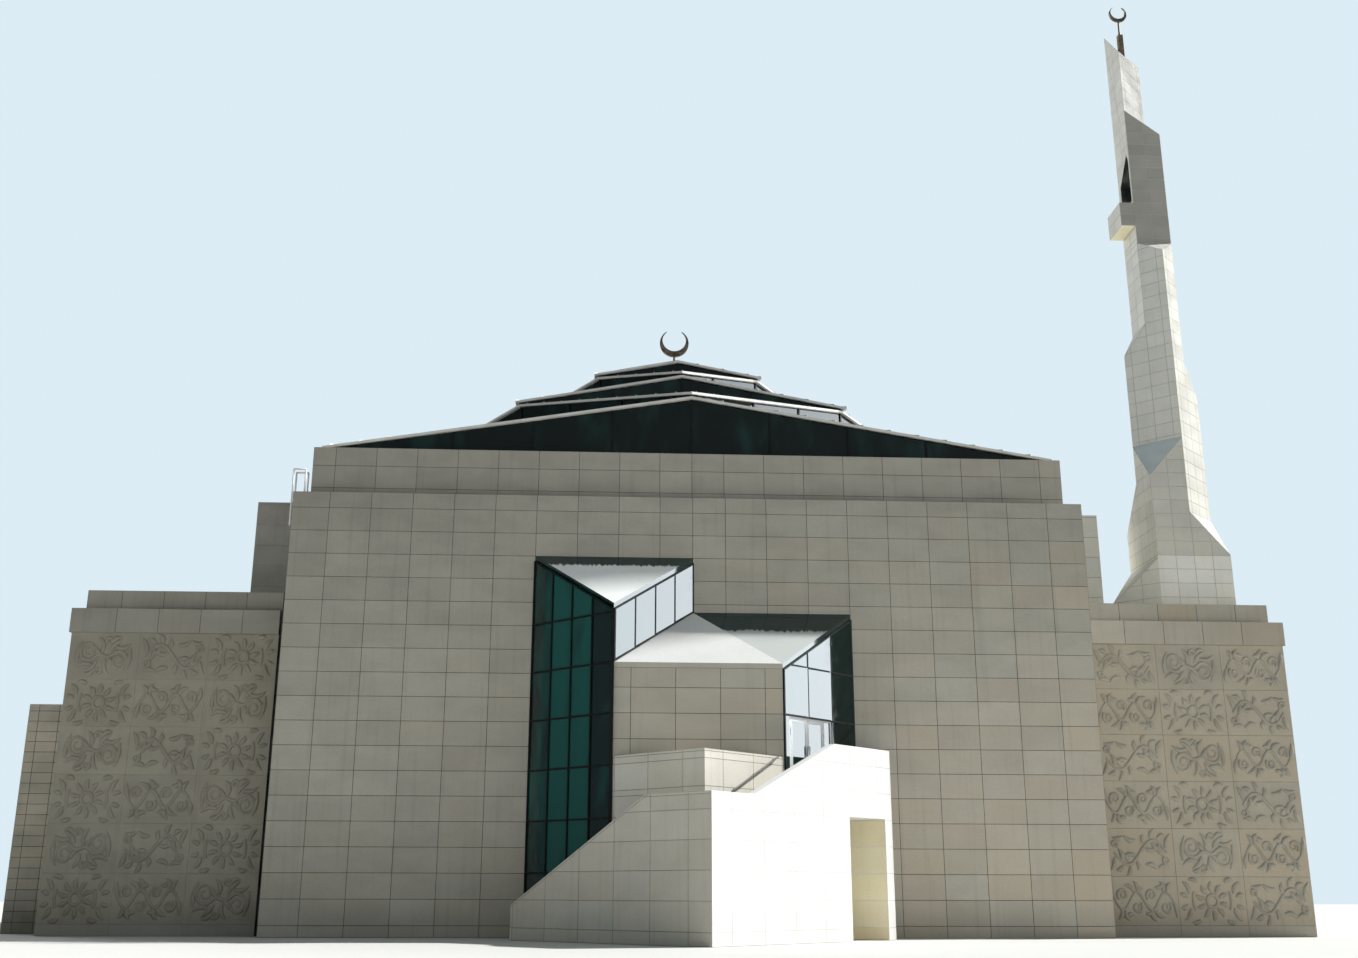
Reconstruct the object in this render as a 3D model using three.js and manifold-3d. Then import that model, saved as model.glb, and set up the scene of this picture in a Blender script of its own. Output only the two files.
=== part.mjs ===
import * as THREE from 'three';
import { ConvexGeometry } from 'three/addons/geometries/ConvexGeometry.js';
import { mergeVertices } from 'three/addons/utils/BufferGeometryUtils.js';
import Module from 'manifold-3d';

// Mosque in pale stone: a square prayer hall with a glass roof of turned squares,
// two lower wings, a faceted glass entrance bay with an outside stair, and a minaret.
// Millimetres, +Z up. The origin is under the middle of the prayer hall, the front faces -Y.

const wasm = await Module();
wasm.setup();

// Driving dimensions
const panelWidth = 1200;            // one stone panel, the plan module
const courseHeight = 680;           // one stone course
const footCourse = 0.45 * courseHeight;
const fit = 0.3;                    // gap between touching pieces
const bite = 1;                     // how far one solid reaches into the next before they join
const roundSides = 16;              // sides of rods and hinge barrels
const wallThickness = 400;

const hallHalf = 9.69 * panelWidth;
const hallTop = footCourse + 17.7 * courseHeight;
const hallCentreY = hallHalf;       // the front face lies on y = 0 here
const atticHalf = 9.35 * panelWidth;
const atticThickness = 500;
const atticTop = 13830;
const terraceLevel = 12000;
const terraceThickness = 250;
const groundFloorThickness = 150;
const hallFloorLevel = 3620;
const hallFloorThickness = 250;

// Entrance bay: two glass prisms on a 45 degree zigzag of one length
const bay = 1.9 * panelWidth;
const leftHeadLevel = footCourse + 15 * courseHeight;
const rightHeadLevel = 8900;
const baySlope = 1800;              // fall of each bay roof from wall to nose
const bayRoofThickness = 140;
const glassThickness = 60;
const porchThickness = 300;

// Outside stair
const parapet = 250;
const stairHalf = 3 * bay;          // the outer walls meet at (0, -stairHalf)
const courtHalf = 2 * bay;          // the inner walls meet at (0, -courtHalf)
const middleLanding = 2420;
const innerParapetTop = 4620;
const lowParapetTop = 3430;
const highParapetTop = 4860;
const lowerRisers = 16;
const upperRisers = 8;

// Wings and side blocks
const wingHalf = 14.95 * panelWidth;
const wingFront = panelWidth;
const wingTop = 8.03 * panelWidth;
const wingSlot = { width: 347, depth: 200 };    // dark recess where a wing meets the hall
const wingBandTop = 7.54 * panelWidth;
const wingBandFoot = 6.95 * panelWidth;
const blockHalf = 11.52 * panelWidth;
const blockFront = 4 * panelWidth;
const blockTop = 13308;

// Materials
const paint = (color, roughness, metalness = 0) =>
  new THREE.MeshStandardMaterial({ color, roughness, metalness });
const stone = paint(0xb5ae9d, 0.85);
const whiteStone = paint(0xe9e7df, 0.8);
const darkGlass = paint(0x17403c, 0.1);
const steel = paint(0xb9bab6, 0.4, 0.6);
const frameWhite = paint(0xe6e8e6, 0.5);
const bronze = paint(0x6e5b49, 0.4, 0.8);

const building = new THREE.Group();
building.position.y = -hallCentreY;

// Solids
function toManifold(geometry) {
  const bare = geometry.clone();
  bare.deleteAttribute('normal');
  bare.deleteAttribute('uv');
  const merged = mergeVertices(bare, 1e-3);
  return new wasm.Manifold(new wasm.Mesh({
    numProp: 3,
    vertProperties: Float32Array.from(merged.attributes.position.array),
    triVerts: Uint32Array.from(merged.index.array),
  }));
}

function toGeometry(manifold) {
  const mesh = manifold.getMesh();
  const geometry = new THREE.BufferGeometry();
  geometry.setAttribute('position', new THREE.BufferAttribute(mesh.vertProperties, 3));
  geometry.setIndex(new THREE.BufferAttribute(mesh.triVerts, 1));
  const flat = geometry.toNonIndexed();
  flat.computeVertexNormals();
  return flat;
}

function add(name, manifold, material) {
  const mesh = new THREE.Mesh(toGeometry(manifold), material);
  mesh.name = name;
  building.add(mesh);
}

const squareCorners = [[-1, -1], [1, -1], [1, 1], [-1, 1]];
const join = (first, ...others) => others.reduce((sum, other) => sum.add(other), first);
const cut = (first, ...others) => others.reduce((rest, other) => rest.subtract(other), first);

// An upright prism over a plan outline
function prism(outline, low, high) {
  const shape = new THREE.Shape(outline.map(([x, y]) => new THREE.Vector2(x, y)));
  const geometry = new THREE.ExtrudeGeometry(shape, { depth: high - low, bevelEnabled: false });
  geometry.translate(0, 0, low);
  return toManifold(geometry);
}

const box = (x0, x1, y0, y1, z0, z1) => prism([[x0, y0], [x1, y0], [x1, y1], [x0, y1]], z0, z1);

function hull(points) {
  return toManifold(new ConvexGeometry(points.map((p) => new THREE.Vector3(...p))));
}

// A standing slab: its outline is drawn in (run, height) on the line from start in the
// direction angle (degrees), and it is thickened to the left of that line.
function slab(start, angle, outline, thickness) {
  const turn = THREE.MathUtils.degToRad(angle);
  const along = new THREE.Vector3(Math.cos(turn), Math.sin(turn), 0);
  const up = new THREE.Vector3(0, 0, 1);
  const right = new THREE.Vector3().crossVectors(along, up);
  const shape = new THREE.Shape(outline.map(([s, z]) => new THREE.Vector2(s, z)));
  const geometry = new THREE.ExtrudeGeometry(shape, { depth: thickness, bevelEnabled: false });
  const origin = new THREE.Vector3(start[0], start[1], 0).addScaledVector(right, -thickness);
  geometry.applyMatrix4(new THREE.Matrix4().makeBasis(along, up, right).setPosition(origin));
  return toManifold(geometry);
}

// A closed ring between two loops of [x, y, bottom, top] with as many points each
function ring(outer, inner) {
  const count = outer.length;
  const positions = [];
  const faces = [];
  for (const loop of [outer, inner]) {
    for (const [x, y, bottom, top] of loop) {
      positions.push(x, y, bottom, x, y, top);
    }
  }
  const quad = (a, b, c, d) => faces.push(a, b, c, a, c, d);
  for (let i = 0; i < count; i += 1) {
    const j = (i + 1) % count;
    const [o, p] = [2 * i, 2 * j];
    const [m, n] = [2 * (count + i), 2 * (count + j)];
    quad(o + 1, p + 1, n + 1, m + 1);
    quad(o, m, n, p);
    quad(o, p, p + 1, o + 1);
    quad(m, m + 1, n + 1, n);
  }
  const geometry = new THREE.BufferGeometry();
  geometry.setAttribute('position', new THREE.Float32BufferAttribute(positions, 3));
  geometry.setIndex(faces);
  return toManifold(geometry);
}

// Prayer hall walls
function hallWalls() {
  const inner = hallHalf - wallThickness;
  const back = 2 * hallHalf;
  const openLeft = -courtHalf;
  const openRight = courtHalf;
  add('front_wall', slab([-hallHalf, 0], 0, [
    [-hallHalf, 0], [openLeft, 0], [openLeft, leftHeadLevel], [0, leftHeadLevel],
    [0, rightHeadLevel], [openRight, rightHeadLevel], [openRight, 0], [hallHalf, 0],
    [hallHalf, hallTop], [-hallHalf, hallTop],
  ].map(([x, z]) => [x + hallHalf, z]), wallThickness), stone);
  const near = wallThickness + fit;
  const bed = back - wallThickness;
  add('rear_walls', prism([
    [-hallHalf, near], [-inner, near], [-inner, bed], [inner, bed], [inner, near],
    [hallHalf, near], [hallHalf, back], [-hallHalf, back],
  ], 0, hallTop), stone);
}

// Floors, terrace round the attic, and the attic wall under the glass roof
function hallFloors() {
  const reach = hallHalf - wallThickness - fit;
  const near = wallThickness + fit;
  const far = 2 * hallHalf - near;
  add('ground_floor', box(-reach, reach, near, far, 0, groundFloorThickness), stone);
  add('hall_floor', box(
    -reach, reach, near, far, hallFloorLevel - hallFloorThickness, hallFloorLevel,
  ), stone);
  const squareRing = (outer, inner, low, high) => cut(
    box(-outer, outer, hallCentreY - outer, hallCentreY + outer, low, high),
    box(-inner, inner, hallCentreY - inner, hallCentreY + inner, low - 1, high + 1),
  );
  const atticInner = atticHalf - atticThickness;
  add('terrace', squareRing(reach, atticInner, terraceLevel - terraceThickness, terraceLevel), stone);
  add('attic_wall', squareRing(atticHalf, atticInner, terraceLevel + fit, atticTop), stone);
}

// Glass roof: every tier is a square turned by 45 degrees inside the one below.
// Glass gables stand on its sides, and folded plates fall from their peaks to its corners.
const tierHalf = 9.1 * panelWidth;  // half side of the lowest glass square
const tierCurb = 30;                // height of the glass at the corners of its square
const tierRises = [1790, 1425, 1050, 785, 575];
const plateThickness = 80;
const plateOverhang = 120;
const plateLedge = 100;
const cap = { edge: 50, rise: 530, lidHalf: 90 };

function tierLoop(half, turned, offset, cornerLevels, peakLevels) {
  const reach = half + offset;
  const loop = [];
  for (let side = 0; side < 4; side += 1) {
    const turn = side * Math.PI / 2 + (turned ? Math.PI / 4 : 0);
    const place = (x, y) => [
      x * Math.cos(turn) - y * Math.sin(turn),
      hallCentreY + x * Math.sin(turn) + y * Math.cos(turn),
    ];
    loop.push([...place(-reach, -reach), ...cornerLevels], [...place(0, -reach), ...peakLevels]);
  }
  return loop;
}

function glassRoof() {
  let foot = atticTop + fit;
  let half = tierHalf;
  tierRises.forEach((rise, tier) => {
    const turned = tier % 2 === 1;
    const name = tier + 1;
    const plateFoot = foot + tierCurb;
    const paneCorner = [foot, plateFoot - fit];
    const panePeak = [foot, plateFoot + rise - fit];
    add(`roof_glass_${name}`, ring(
      tierLoop(half, turned, 0, paneCorner, panePeak),
      tierLoop(half, turned, -glassThickness, paneCorner, panePeak),
    ), darkGlass);
    const slope = rise / half;
    const cornerLow = plateFoot - slope * plateOverhang;
    const peakLow = plateFoot + rise;
    const outer = tierLoop(
      half, turned, plateOverhang,
      [cornerLow, cornerLow + plateThickness], [peakLow, peakLow + plateThickness],
    );
    const ledgeHalf = half - plateLedge;
    const inner = tierLoop(half, turned, 0, [], []).map(([x, y], i) => {
      const peak = i % 2 === 1;
      const scale = (peak ? 1 : 0.5) * ledgeHalf / half;
      const level = [peakLow, peakLow + plateThickness];
      return [x * scale, hallCentreY + (y - hallCentreY) * scale, ...level];
    });
    add(`roof_plates_${name}`, ring(outer, inner), steel);
    foot = peakLow + plateThickness + fit;
    half = (half + plateOverhang) / Math.SQRT2;
  });
  const capHalf = half - plateOverhang;
  const peak = foot + cap.rise;
  const corners = [[0, -1], [1, 0], [0, 1], [-1, 0]].map(
    ([x, y]) => [x * capHalf * Math.SQRT2, hallCentreY + y * capHalf * Math.SQRT2],
  );
  const lid = squareCorners.map(([x, y]) => [x * cap.lidHalf, hallCentreY + y * cap.lidHalf, peak]);
  add('roof_cap', hull([
    ...corners.map(([x, y]) => [x, y, foot]),
    ...corners.map(([x, y]) => [x, y, foot + cap.edge]),
    ...lid,
  ]), steel);
  return peak;
}

// A crescent on a stem, in the plane of the front: lengths are shares of its outer radius
const moonShape = { hollow: 0.82, lift: 0.22, thickness: 0.2, tip: 55, innerTip: 0.93 };
const stemTaper = 0.7;

function crescent(name, x, y, foot, { ringFoot, diameter, stem: stemRadius }, pedestal) {
  const radius = diameter / 2;
  const hollow = radius * moonShape.hollow;
  const lift = radius * moonShape.lift;
  const moon = new THREE.Shape();
  const tip = THREE.MathUtils.degToRad(moonShape.tip);
  const innerTip = tip * moonShape.innerTip;
  moon.absarc(0, 0, radius, Math.PI - tip, 2 * Math.PI + tip, false);
  moon.absarc(0, lift, hollow, innerTip, Math.PI - innerTip, true);
  const thickness = radius * moonShape.thickness;
  const geometry = new THREE.ExtrudeGeometry(moon, {
    depth: thickness, bevelEnabled: false, curveSegments: 20,
  });
  geometry.translate(0, 0, -thickness / 2);
  geometry.rotateX(Math.PI / 2);
  geometry.translate(x, y, ringFoot + radius);
  const stem = new THREE.CylinderGeometry(
    stemRadius * stemTaper, stemRadius, ringFoot - foot + thickness, roundSides,
  );
  stem.rotateX(Math.PI / 2);
  stem.translate(x, y, (ringFoot + foot + thickness) / 2);
  add(name, join(toManifold(geometry), toManifold(stem), ...(pedestal ? [pedestal] : [])), bronze);
}

// Entrance bay: zigzag glass walls, folded roofs and the stone front between them
const diagonal = Math.SQRT1_2;
const doorHead = footCourse + 8 * courseHeight;
const doorBays = { start: 300, leaf: 725, sidelight: 330, frame: 60, depth: 90, leafDepth: 45, clear: 6 };

function entranceBay() {
  const roofLine = (head) => (y) => head - baySlope * Math.abs(y) / bay;
  const leftRoof = roofLine(leftHeadLevel);
  const rightRoof = roofLine(rightHeadLevel);
  const run = bay * Math.SQRT2;
  const glassTop = (line) => (s) => line(-s / Math.SQRT2) - bayRoofThickness - fit;
  const leftTop = glassTop(leftRoof);
  const rightTop = glassTop(rightRoof);
  const step = glassThickness;

  // outer left wall, from the jamb out to the nose
  add('bay_glass_left', slab([-courtHalf + fit, 0], -45, [
    [0, 0], [run - fit, 0], [run - fit, leftTop(run)], [0, leftTop(0)],
  ], step), darkGlass);

  // upper inner wall, from the nose back to the middle of the front, above the porch roof
  const innerFoot = (s) => rightRoof((s - run) / Math.SQRT2) + fit;
  add('bay_glass_inner', slab([-bay, -bay], 45, [
    [step + fit, innerFoot(step)], [run - step, innerFoot(run - step)],
    [run - step, leftTop(step)], [step + fit, leftTop(run - step)],
  ], step), darkGlass);

  // right wall over the landing, with the doorway cut through
  const start = doorBays.start - doorBays.frame;
  const end = doorBays.start + 2 * doorBays.leaf + doorBays.sidelight + doorBays.frame;
  add('bay_glass_right', slab([bay, -bay], 45, [
    [fit, hallFloorLevel], [start - fit, hallFloorLevel], [start - fit, doorHead + fit],
    [end + fit, doorHead + fit], [end + fit, hallFloorLevel], [run - fit, hallFloorLevel],
    [run - fit, rightTop(0)], [fit, rightTop(run)],
  ], step), darkGlass);

  // folded roofs, each one plane falling to the front
  const plate = (plan, line) => hull(plan.flatMap(([x, y]) => [
    [x, y, line(y)], [x, y, line(y) - bayRoofThickness],
  ]));
  add('bay_roof_left', plate([[-courtHalf + fit, 0], [-fit, 0], [-bay, -bay]], leftRoof), whiteStone);
  add('porch_roof', plate([[-bay, -bay], [bay, -bay], [0, 0]], rightRoof), whiteStone);
  add('bay_roof_right', plate([[2 * fit, 0], [courtHalf - fit, 0], [bay + fit, -bay]], rightRoof), darkGlass);

  const porchTop = rightRoof(-bay) - bayRoofThickness - fit;
  const porchInner = bay - porchThickness;
  add('porch_wall', prism([
    [-bay, -bay], [bay, -bay], [porchInner, -porchInner], [-porchInner, -porchInner],
  ], 0, porchTop), stone);
}

const hinge = { radius: 7, out: 10, plate: 30, knuckle: 60, levels: [300, 1690] };
const doorCut = { ahead: 20, beyond: 200 };

// One knuckle of a hinge outside the doorway, with its plate on the side that it belongs to
function knuckle(run, way, low, high) {
  const place = (along, out) => [
    bay + (along + out) * diagonal, -bay + (along - out) * diagonal,
  ];
  const barrel = new THREE.CylinderGeometry(hinge.radius, hinge.radius, high - low, roundSides);
  barrel.rotateX(Math.PI / 2);
  barrel.translate(...place(run, hinge.out), (low + high) / 2);
  const plate = prism([
    place(run, hinge.out), place(run, -bite), place(run + way * hinge.plate, -bite),
    place(run + way * hinge.plate, hinge.out / 2),
  ], low, high);
  return join(toManifold(barrel), plate);
}

function entranceDoors() {
  const { start, leaf, sidelight, frame, depth, leafDepth, clear } = doorBays;
  const at = (s, z0, s1, z1, thick) => slab([bay, -bay], 45, [[s, z0], [s1, z0], [s1, z1], [s, z1]], thick);
  const sill = hallFloorLevel + fit;
  const leavesEnd = start + 2 * leaf;
  const end = leavesEnd + sidelight;
  const whole = at(start - frame, sill, end + frame, doorHead, depth);
  const doorway = at(start, sill - bite, leavesEnd, doorHead - frame, depth + doorCut.beyond);
  const light = at(leavesEnd + frame, sill + frame, end, doorHead - frame, depth + doorCut.beyond);
  const ahead = doorCut.ahead * diagonal;
  let surround = cut(
    whole, doorway.translate([ahead, -ahead, 0]), light.translate([ahead, -ahead, 0]),
  );
  const leafTop = doorHead - frame - clear;
  for (const [name, run, way] of [['left', start, 1], ['right', leavesEnd, -1]]) {
    const [edge, meeting] = [run + way * clear, run + way * (leaf - clear)];
    const from = Math.min(edge, meeting);
    let panel = at(from, sill + clear, from + leaf - 2 * clear, leafTop, leafDepth);
    const axis = run + way * clear / 2;
    for (const level of hinge.levels) {
      const low = sill + level;
      const high = low + hinge.knuckle;
      panel = join(panel, knuckle(axis, way, low, high));
      surround = join(
        surround, knuckle(axis, -way, low - hinge.knuckle, low - fit),
        knuckle(axis, -way, high + fit, high + hinge.knuckle),
      );
    }
    add(`door_leaf_${name}`, panel, frameWhite);
  }
  add('door_frame', surround, frameWhite);
}

// Outside stair: two flights between an outer and an inner wall, both on 45 degree lines,
// turning on a landing behind the front corner
const stripWidth = (stairHalf - courtHalf) * diagonal;
const lowerTopRun = 2120;           // from the outer corner to the top of the lower flight
const lowerSlope = 0.547;
const lowerLead = 260;              // how far the parapet runs on past the lowest riser
const upperFootRun = 2640;
const upperGoing = 290;
const upperTopRun = upperFootRun + (upperRisers - 1) * upperGoing;
const parapetRise = { start: 1570, end: 4880 };
const stairWallEnd = 7382;
const passage = { start: 5447, width: 1600, height: 3048, jamb: 500, reveal: 1600, lid: 3400 };
const landingThickness = 200;
const waist = 220;

// Points on the stair's plan: run along an outer wall from the corner, depth inwards
const onLeft = (run, depth) => [(depth - run) * diagonal, -stairHalf + (run + depth) * diagonal];
const onRight = (run, depth) => [(run - depth) * diagonal, -stairHalf + (run + depth) * diagonal];

function stairWalls() {
  const lowerEnd = lowerTopRun + middleLanding / lowerSlope + lowerLead;
  const lowerFoot = lowParapetTop - lowerSlope * (lowerEnd - lowerTopRun);
  const spare = 2 * parapet;
  const rightSide = box(-fit / 2, 2 * spare, -stairHalf - spare, 0, -1, hallTop);
  const leftSide = box(-2 * spare, fit / 2, -stairHalf - spare, 0, -1, hallTop);
  add('stair_wall_left', cut(slab(onLeft(lowerEnd, 0), -45, [
    [0, 0], [lowerEnd + spare, 0], [lowerEnd + spare, lowParapetTop],
    [lowerEnd - lowerTopRun, lowParapetTop], [0, lowerFoot],
  ], parapet), rightSide), stone);
  const { start, width, height, jamb, reveal } = passage;
  const opened = (from, top) => [
    [from, 0], [start, 0], [start, height], [start + width, height], [start + width, 0],
    [stairWallEnd, 0], ...top,
  ];
  const [endX, endY] = onRight(stairWallEnd, 0);
  const inner = endX - parapet;
  const seam = endX + endY;
  const long = slab(onRight(0, 0), 45, opened(-spare, [
    [stairWallEnd, highParapetTop], [parapetRise.end, highParapetTop],
    [parapetRise.start, lowParapetTop], [-spare, lowParapetTop],
  ]), parapet);
  const thick = slab(onRight(0, 0), 45, opened(start - jamb, [
    [stairWallEnd, passage.lid], [start - jamb, passage.lid],
  ]), reveal);
  const end = prism([
    [endX, seam - endX], [endX, -fit], [inner, -fit], [inner, seam - inner - bite],
  ], 0, highParapetTop);
  add('stair_wall_right', join(cut(long, leftSide), thick, end), stone);

  // wall of the raised court inside the stair, and the slab that closes the court
  const courtInner = courtHalf - parapet * Math.SQRT2;
  const courtEdge = -bay - fit;
  const reach = courtHalf + courtEdge;
  const innerReach = courtInner + courtEdge;
  add('court_wall', join(prism([
    [-reach, courtEdge], [0, -courtHalf], [reach, courtEdge],
    [innerReach, courtEdge], [0, -courtInner], [-innerReach, courtEdge],
  ], 0, innerParapetTop), prism([
    [-innerReach - bite, courtEdge], [0, -courtInner - bite], [innerReach + bite, courtEdge],
  ], hallFloorLevel - landingThickness, hallFloorLevel)), stone);

  // stone wall under the door glass
  add('undercroft_wall', slab([bay, -bay], 45, [
    [fit, 0], [bay * Math.SQRT2 - fit, 0],
    [bay * Math.SQRT2 - fit, hallFloorLevel - fit], [fit, hallFloorLevel - fit],
  ], porchThickness), stone);
}

// A flight as a stepped solid on a sloping waist, its top riser against the landing
function flight(start, angle, risers, rise, going, foot, width) {
  const outline = [[0, foot]];
  for (let i = 1; i < risers; i += 1) {
    outline.push([(i - 1) * going, foot + i * rise], [i * going, foot + i * rise]);
  }
  const run = (risers - 1) * going;
  const top = foot + (risers - 1) * rise;
  const underside = top - waist;
  outline.push([run, underside], [waist * going / rise, foot]);
  return slab(start, angle, outline, width);
}

function stairFlights() {
  const near = parapet + fit;
  const width = stripWidth - near - fit;
  const lowerRise = middleLanding / lowerRisers;
  const lowerGoing = lowerRise / lowerSlope;
  const lowerRun = lowerTopRun + (lowerRisers - 1) * lowerGoing;
  add('stair_lower_flight', flight(
    onLeft(lowerRun + fit, near), -45, lowerRisers, lowerRise, lowerGoing, 0, width,
  ), stone);
  const upperRise = (hallFloorLevel - middleLanding) / upperRisers;
  add('stair_upper_flight', flight(
    onRight(upperFootRun, near), 45, upperRisers, upperRise, upperGoing,
    middleLanding + fit, width,
  ), stone);
  const far = stripWidth - fit;
  const landingEnd = upperFootRun + waist * 2;
  add('middle_landing', prism([
    onLeft(lowerTopRun, near), onLeft(near, near), onRight(landingEnd, near),
    onRight(landingEnd, far), onRight(far, far), onLeft(lowerTopRun, far),
  ], middleLanding - landingThickness, middleLanding), stone);
  const lineOf = ([x, y]) => x - y;
  const outerLine = lineOf(onRight(0, near));
  const innerLine = lineOf(onRight(0, far));
  const inner = onRight(stairWallEnd, 0)[0] - parapet - fit;
  add('upper_landing', prism([
    onRight(upperTopRun + fit, near), [inner, inner - outerLine], [inner, -fit],
    [innerLine - fit, -fit], onRight(upperTopRun + fit, far),
  ], hallFloorLevel - landingThickness, hallFloorLevel), stone);
  const undercroftLine = 2 * bay - porchThickness * Math.SQRT2 - fit;
  const porchInner = porchThickness - bay + fit;
  add('bay_floor', prism([
    [porchInner, porchInner], [undercroftLine + porchInner, porchInner],
    [undercroftLine - fit, -fit], [0, -fit],
  ], hallFloorLevel - hallFloorThickness, hallFloorLevel), stone);
}

const rail = {
  foot: { run: 2560, z: 3600 }, head: { run: 4480, z: 4600 },
  radius: 24, postRadius: 9, stand: 85, posts: [0.08, 0.5, 0.92],
};

function handrail() {
  const { foot, head, radius, postRadius } = rail;
  const offset = stripWidth - rail.stand;
  const place = ({ run, z }) => new THREE.Vector3(...onRight(run, offset), z);
  const rod = (from, to, thick) => {
    const way = new THREE.Vector3().subVectors(to, from);
    const tube = new THREE.CylinderGeometry(thick, thick, way.length(), roundSides);
    tube.translate(0, way.length() / 2, 0);
    tube.applyQuaternion(new THREE.Quaternion().setFromUnitVectors(
      new THREE.Vector3(0, 1, 0), way.clone().normalize(),
    ));
    tube.translate(...from);
    return toManifold(tube);
  };
  const posts = rail.posts.map((share) => {
    const run = THREE.MathUtils.lerp(foot.run, head.run, share);
    const z = THREE.MathUtils.lerp(foot.z, head.z, share);
    const wall = new THREE.Vector3(...onRight(run, stripWidth - fit), z);
    return rod(place({ run, z }), wall, postRadius);
  });
  add('handrail', join(rod(place(foot), place(head), radius), ...posts), steel);
}

// Wings beside the hall, their capping band, and the higher blocks behind them
const wingWallHalf = 14.9 * panelWidth;
const wingParapetHalf = 14.7 * panelWidth;
const wingBack = 2 * hallHalf - wingFront;
const blockWall = 300;
const wingParapet = { thickness: 300, reach: 200 };     // reach: down into the band below
const wingRoofDeck = { below: 20, thickness: 220 };     // below the top of the band

function wing(name, side) {
  const mirrored = (x0, x1, ...rest) => (side < 0 ? box(-x1, -x0, ...rest) : box(x0, x1, ...rest));
  const near = hallHalf + fit;
  const project = wingHalf - wingWallHalf;
  const step = wingWallHalf - wingParapetHalf;
  const roofTop = wingBandTop - wingRoofDeck.below;
  const inset = wingParapet.thickness + fit;
  const uShape = (half, setBack, thick, z0, z1) => {
    const [front, back] = [wingFront + setBack, wingBack - setBack];
    const { width, depth } = wingSlot;
    return prism([
      [near, front + depth], [near + width, front + depth], [near + width, front],
      [half, front], [half, back],
      [near + width, back], [near + width, back - depth], [near, back - depth],
      [near, back - thick], [half - thick, back - thick], [half - thick, front + thick],
      [near, front + thick],
    ].map(([x, y]) => [side * x, y]), z0, z1);
  };
  add(`wing_${name}_walls`, uShape(wingWallHalf, 0, wallThickness, 0, wingBandFoot), stone);
  add(`wing_${name}_band`, join(
    uShape(wingHalf, -project, wallThickness + project, wingBandFoot + fit, wingBandTop),
    uShape(wingParapetHalf, step, wingParapet.thickness, wingBandTop - wingParapet.reach, wingTop),
  ), stone);
  const roof = mirrored(
    near, wingParapetHalf - inset, wingFront + step + inset, wingBack - step - inset,
    roofTop - wingRoofDeck.thickness, roofTop,
  );
  add(`wing_${name}_roof`, side > 0 ? cut(roof, minaretFootprint(2 * fit)) : roof, stone);
  const blockFoot = roofTop + fit;
  const blockBack = 2 * hallHalf - blockFront;
  add(`block_${name}`, cut(
    mirrored(near, blockHalf, blockFront, blockBack, blockFoot, blockTop),
    mirrored(near + blockWall, blockHalf - blockWall, blockFront + blockWall, blockBack - blockWall,
      blockFoot - bite, blockTop - blockWall),
  ), stone);
}

// Low annex against the left wing, open below and towards the wing
const annexSize = {
  outer: 16.45 * panelWidth, front: 3 * panelWidth, back: 9 * panelWidth, top: 6570,
  wall: 300, roof: 700,
};

function annex() {
  const { outer, front, back, top, wall, roof } = annexSize;
  const inner = wingWallHalf + fit;
  add('annex', cut(
    box(-outer, -inner, front, back, 0, top),
    box(-outer + wall, -inner + bite, front + wall, back - wall, -bite, top - roof),
  ), stone);
}

// Minaret: a square shaft whose corners are cut away by sloping facets, so that it turns
// into smaller squares, each 45 degrees to the last
const minaret = { x: 15980, y: 3600, half: 1180, top: 31300 };
const buttress = { reach: 2360, low: 9980, high: 11300, root: 200, shoulder: 100 };
const headFoot = 22480;
const firstCuts = [
  { corner: [1, -1], low: 11436, high: 12840 },
  { corner: [1, 1], low: 10200, high: 11600 },
  { corner: [-1, 1], low: 12643, high: 14070 },
  { corner: [-1, -1], low: 14028, high: 15348 },
];
const secondCuts = [
  { corner: [-1, 0], low: 18552, high: 19464 },
  { corner: [1, 0], low: 17076, high: 18156 },
  { corner: [0, 1], low: 15700, high: 16780 },
  { corner: [0, -1], low: 21956, high: headFoot },
];
const headCut = { corner: [0.5, -0.5], low: 26681, high: 27588 };
const bladeTop = { front: 29959, back: 31296, side: 30086 };
const finial = {
  offset: 240, pedestalHalf: 85, pedestalTop: 31013, ringFoot: 31581, diameter: 640, stem: 40,
};
const roofFinial = { ringFoot: 21330, diameter: 1130, stem: 60 };
const spareHeight = 2000;           // how far cutting bodies stand above the tower
const niche = { near: 3130, far: 3990, foot: 24130, spring: 25080, tipY: 3240, tip: 25960, shoulder: 25700 };
const balcony = { reach: 486, low: 23124, high: 24000, wall: 90, floor: 130 };

function minaretFootprint(margin) {
  const { x, y, half } = minaret;
  const grow = half + margin;
  const tip = buttress.reach + margin * Math.SQRT2;
  return prism([
    [x - grow, y - grow], [x + grow, y - grow], [x + grow, y + grow], [x - grow, y + grow],
    [x - grow, y + tip - grow], [x - tip, y], [x - grow, y - (tip - grow)],
  ], -1, wingTop);
}

// The wedge that a sloping facet takes off one corner, from its lowest point upwards
function wedge({ corner, low, high }, depth) {
  const out = new THREE.Vector2(...corner).normalize();
  const side = new THREE.Vector2(-out.y, out.x);
  const tip = new THREE.Vector2(...corner).multiplyScalar(minaret.half);
  const root = tip.clone().addScaledVector(out, -depth);
  const points = [];
  for (const across of [-2 * depth, 2 * depth]) {
    for (const [outward, level] of [[0, high], [3 * depth, high - 3 * (high - low)]]) {
      const spot = root.clone().addScaledVector(side, across).addScaledVector(out, outward);
      const place = [minaret.x + spot.x, minaret.y + spot.y];
      points.push([...place, level], [...place, minaret.top + spareHeight]);
    }
  }
  return hull(points);
}

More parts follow.
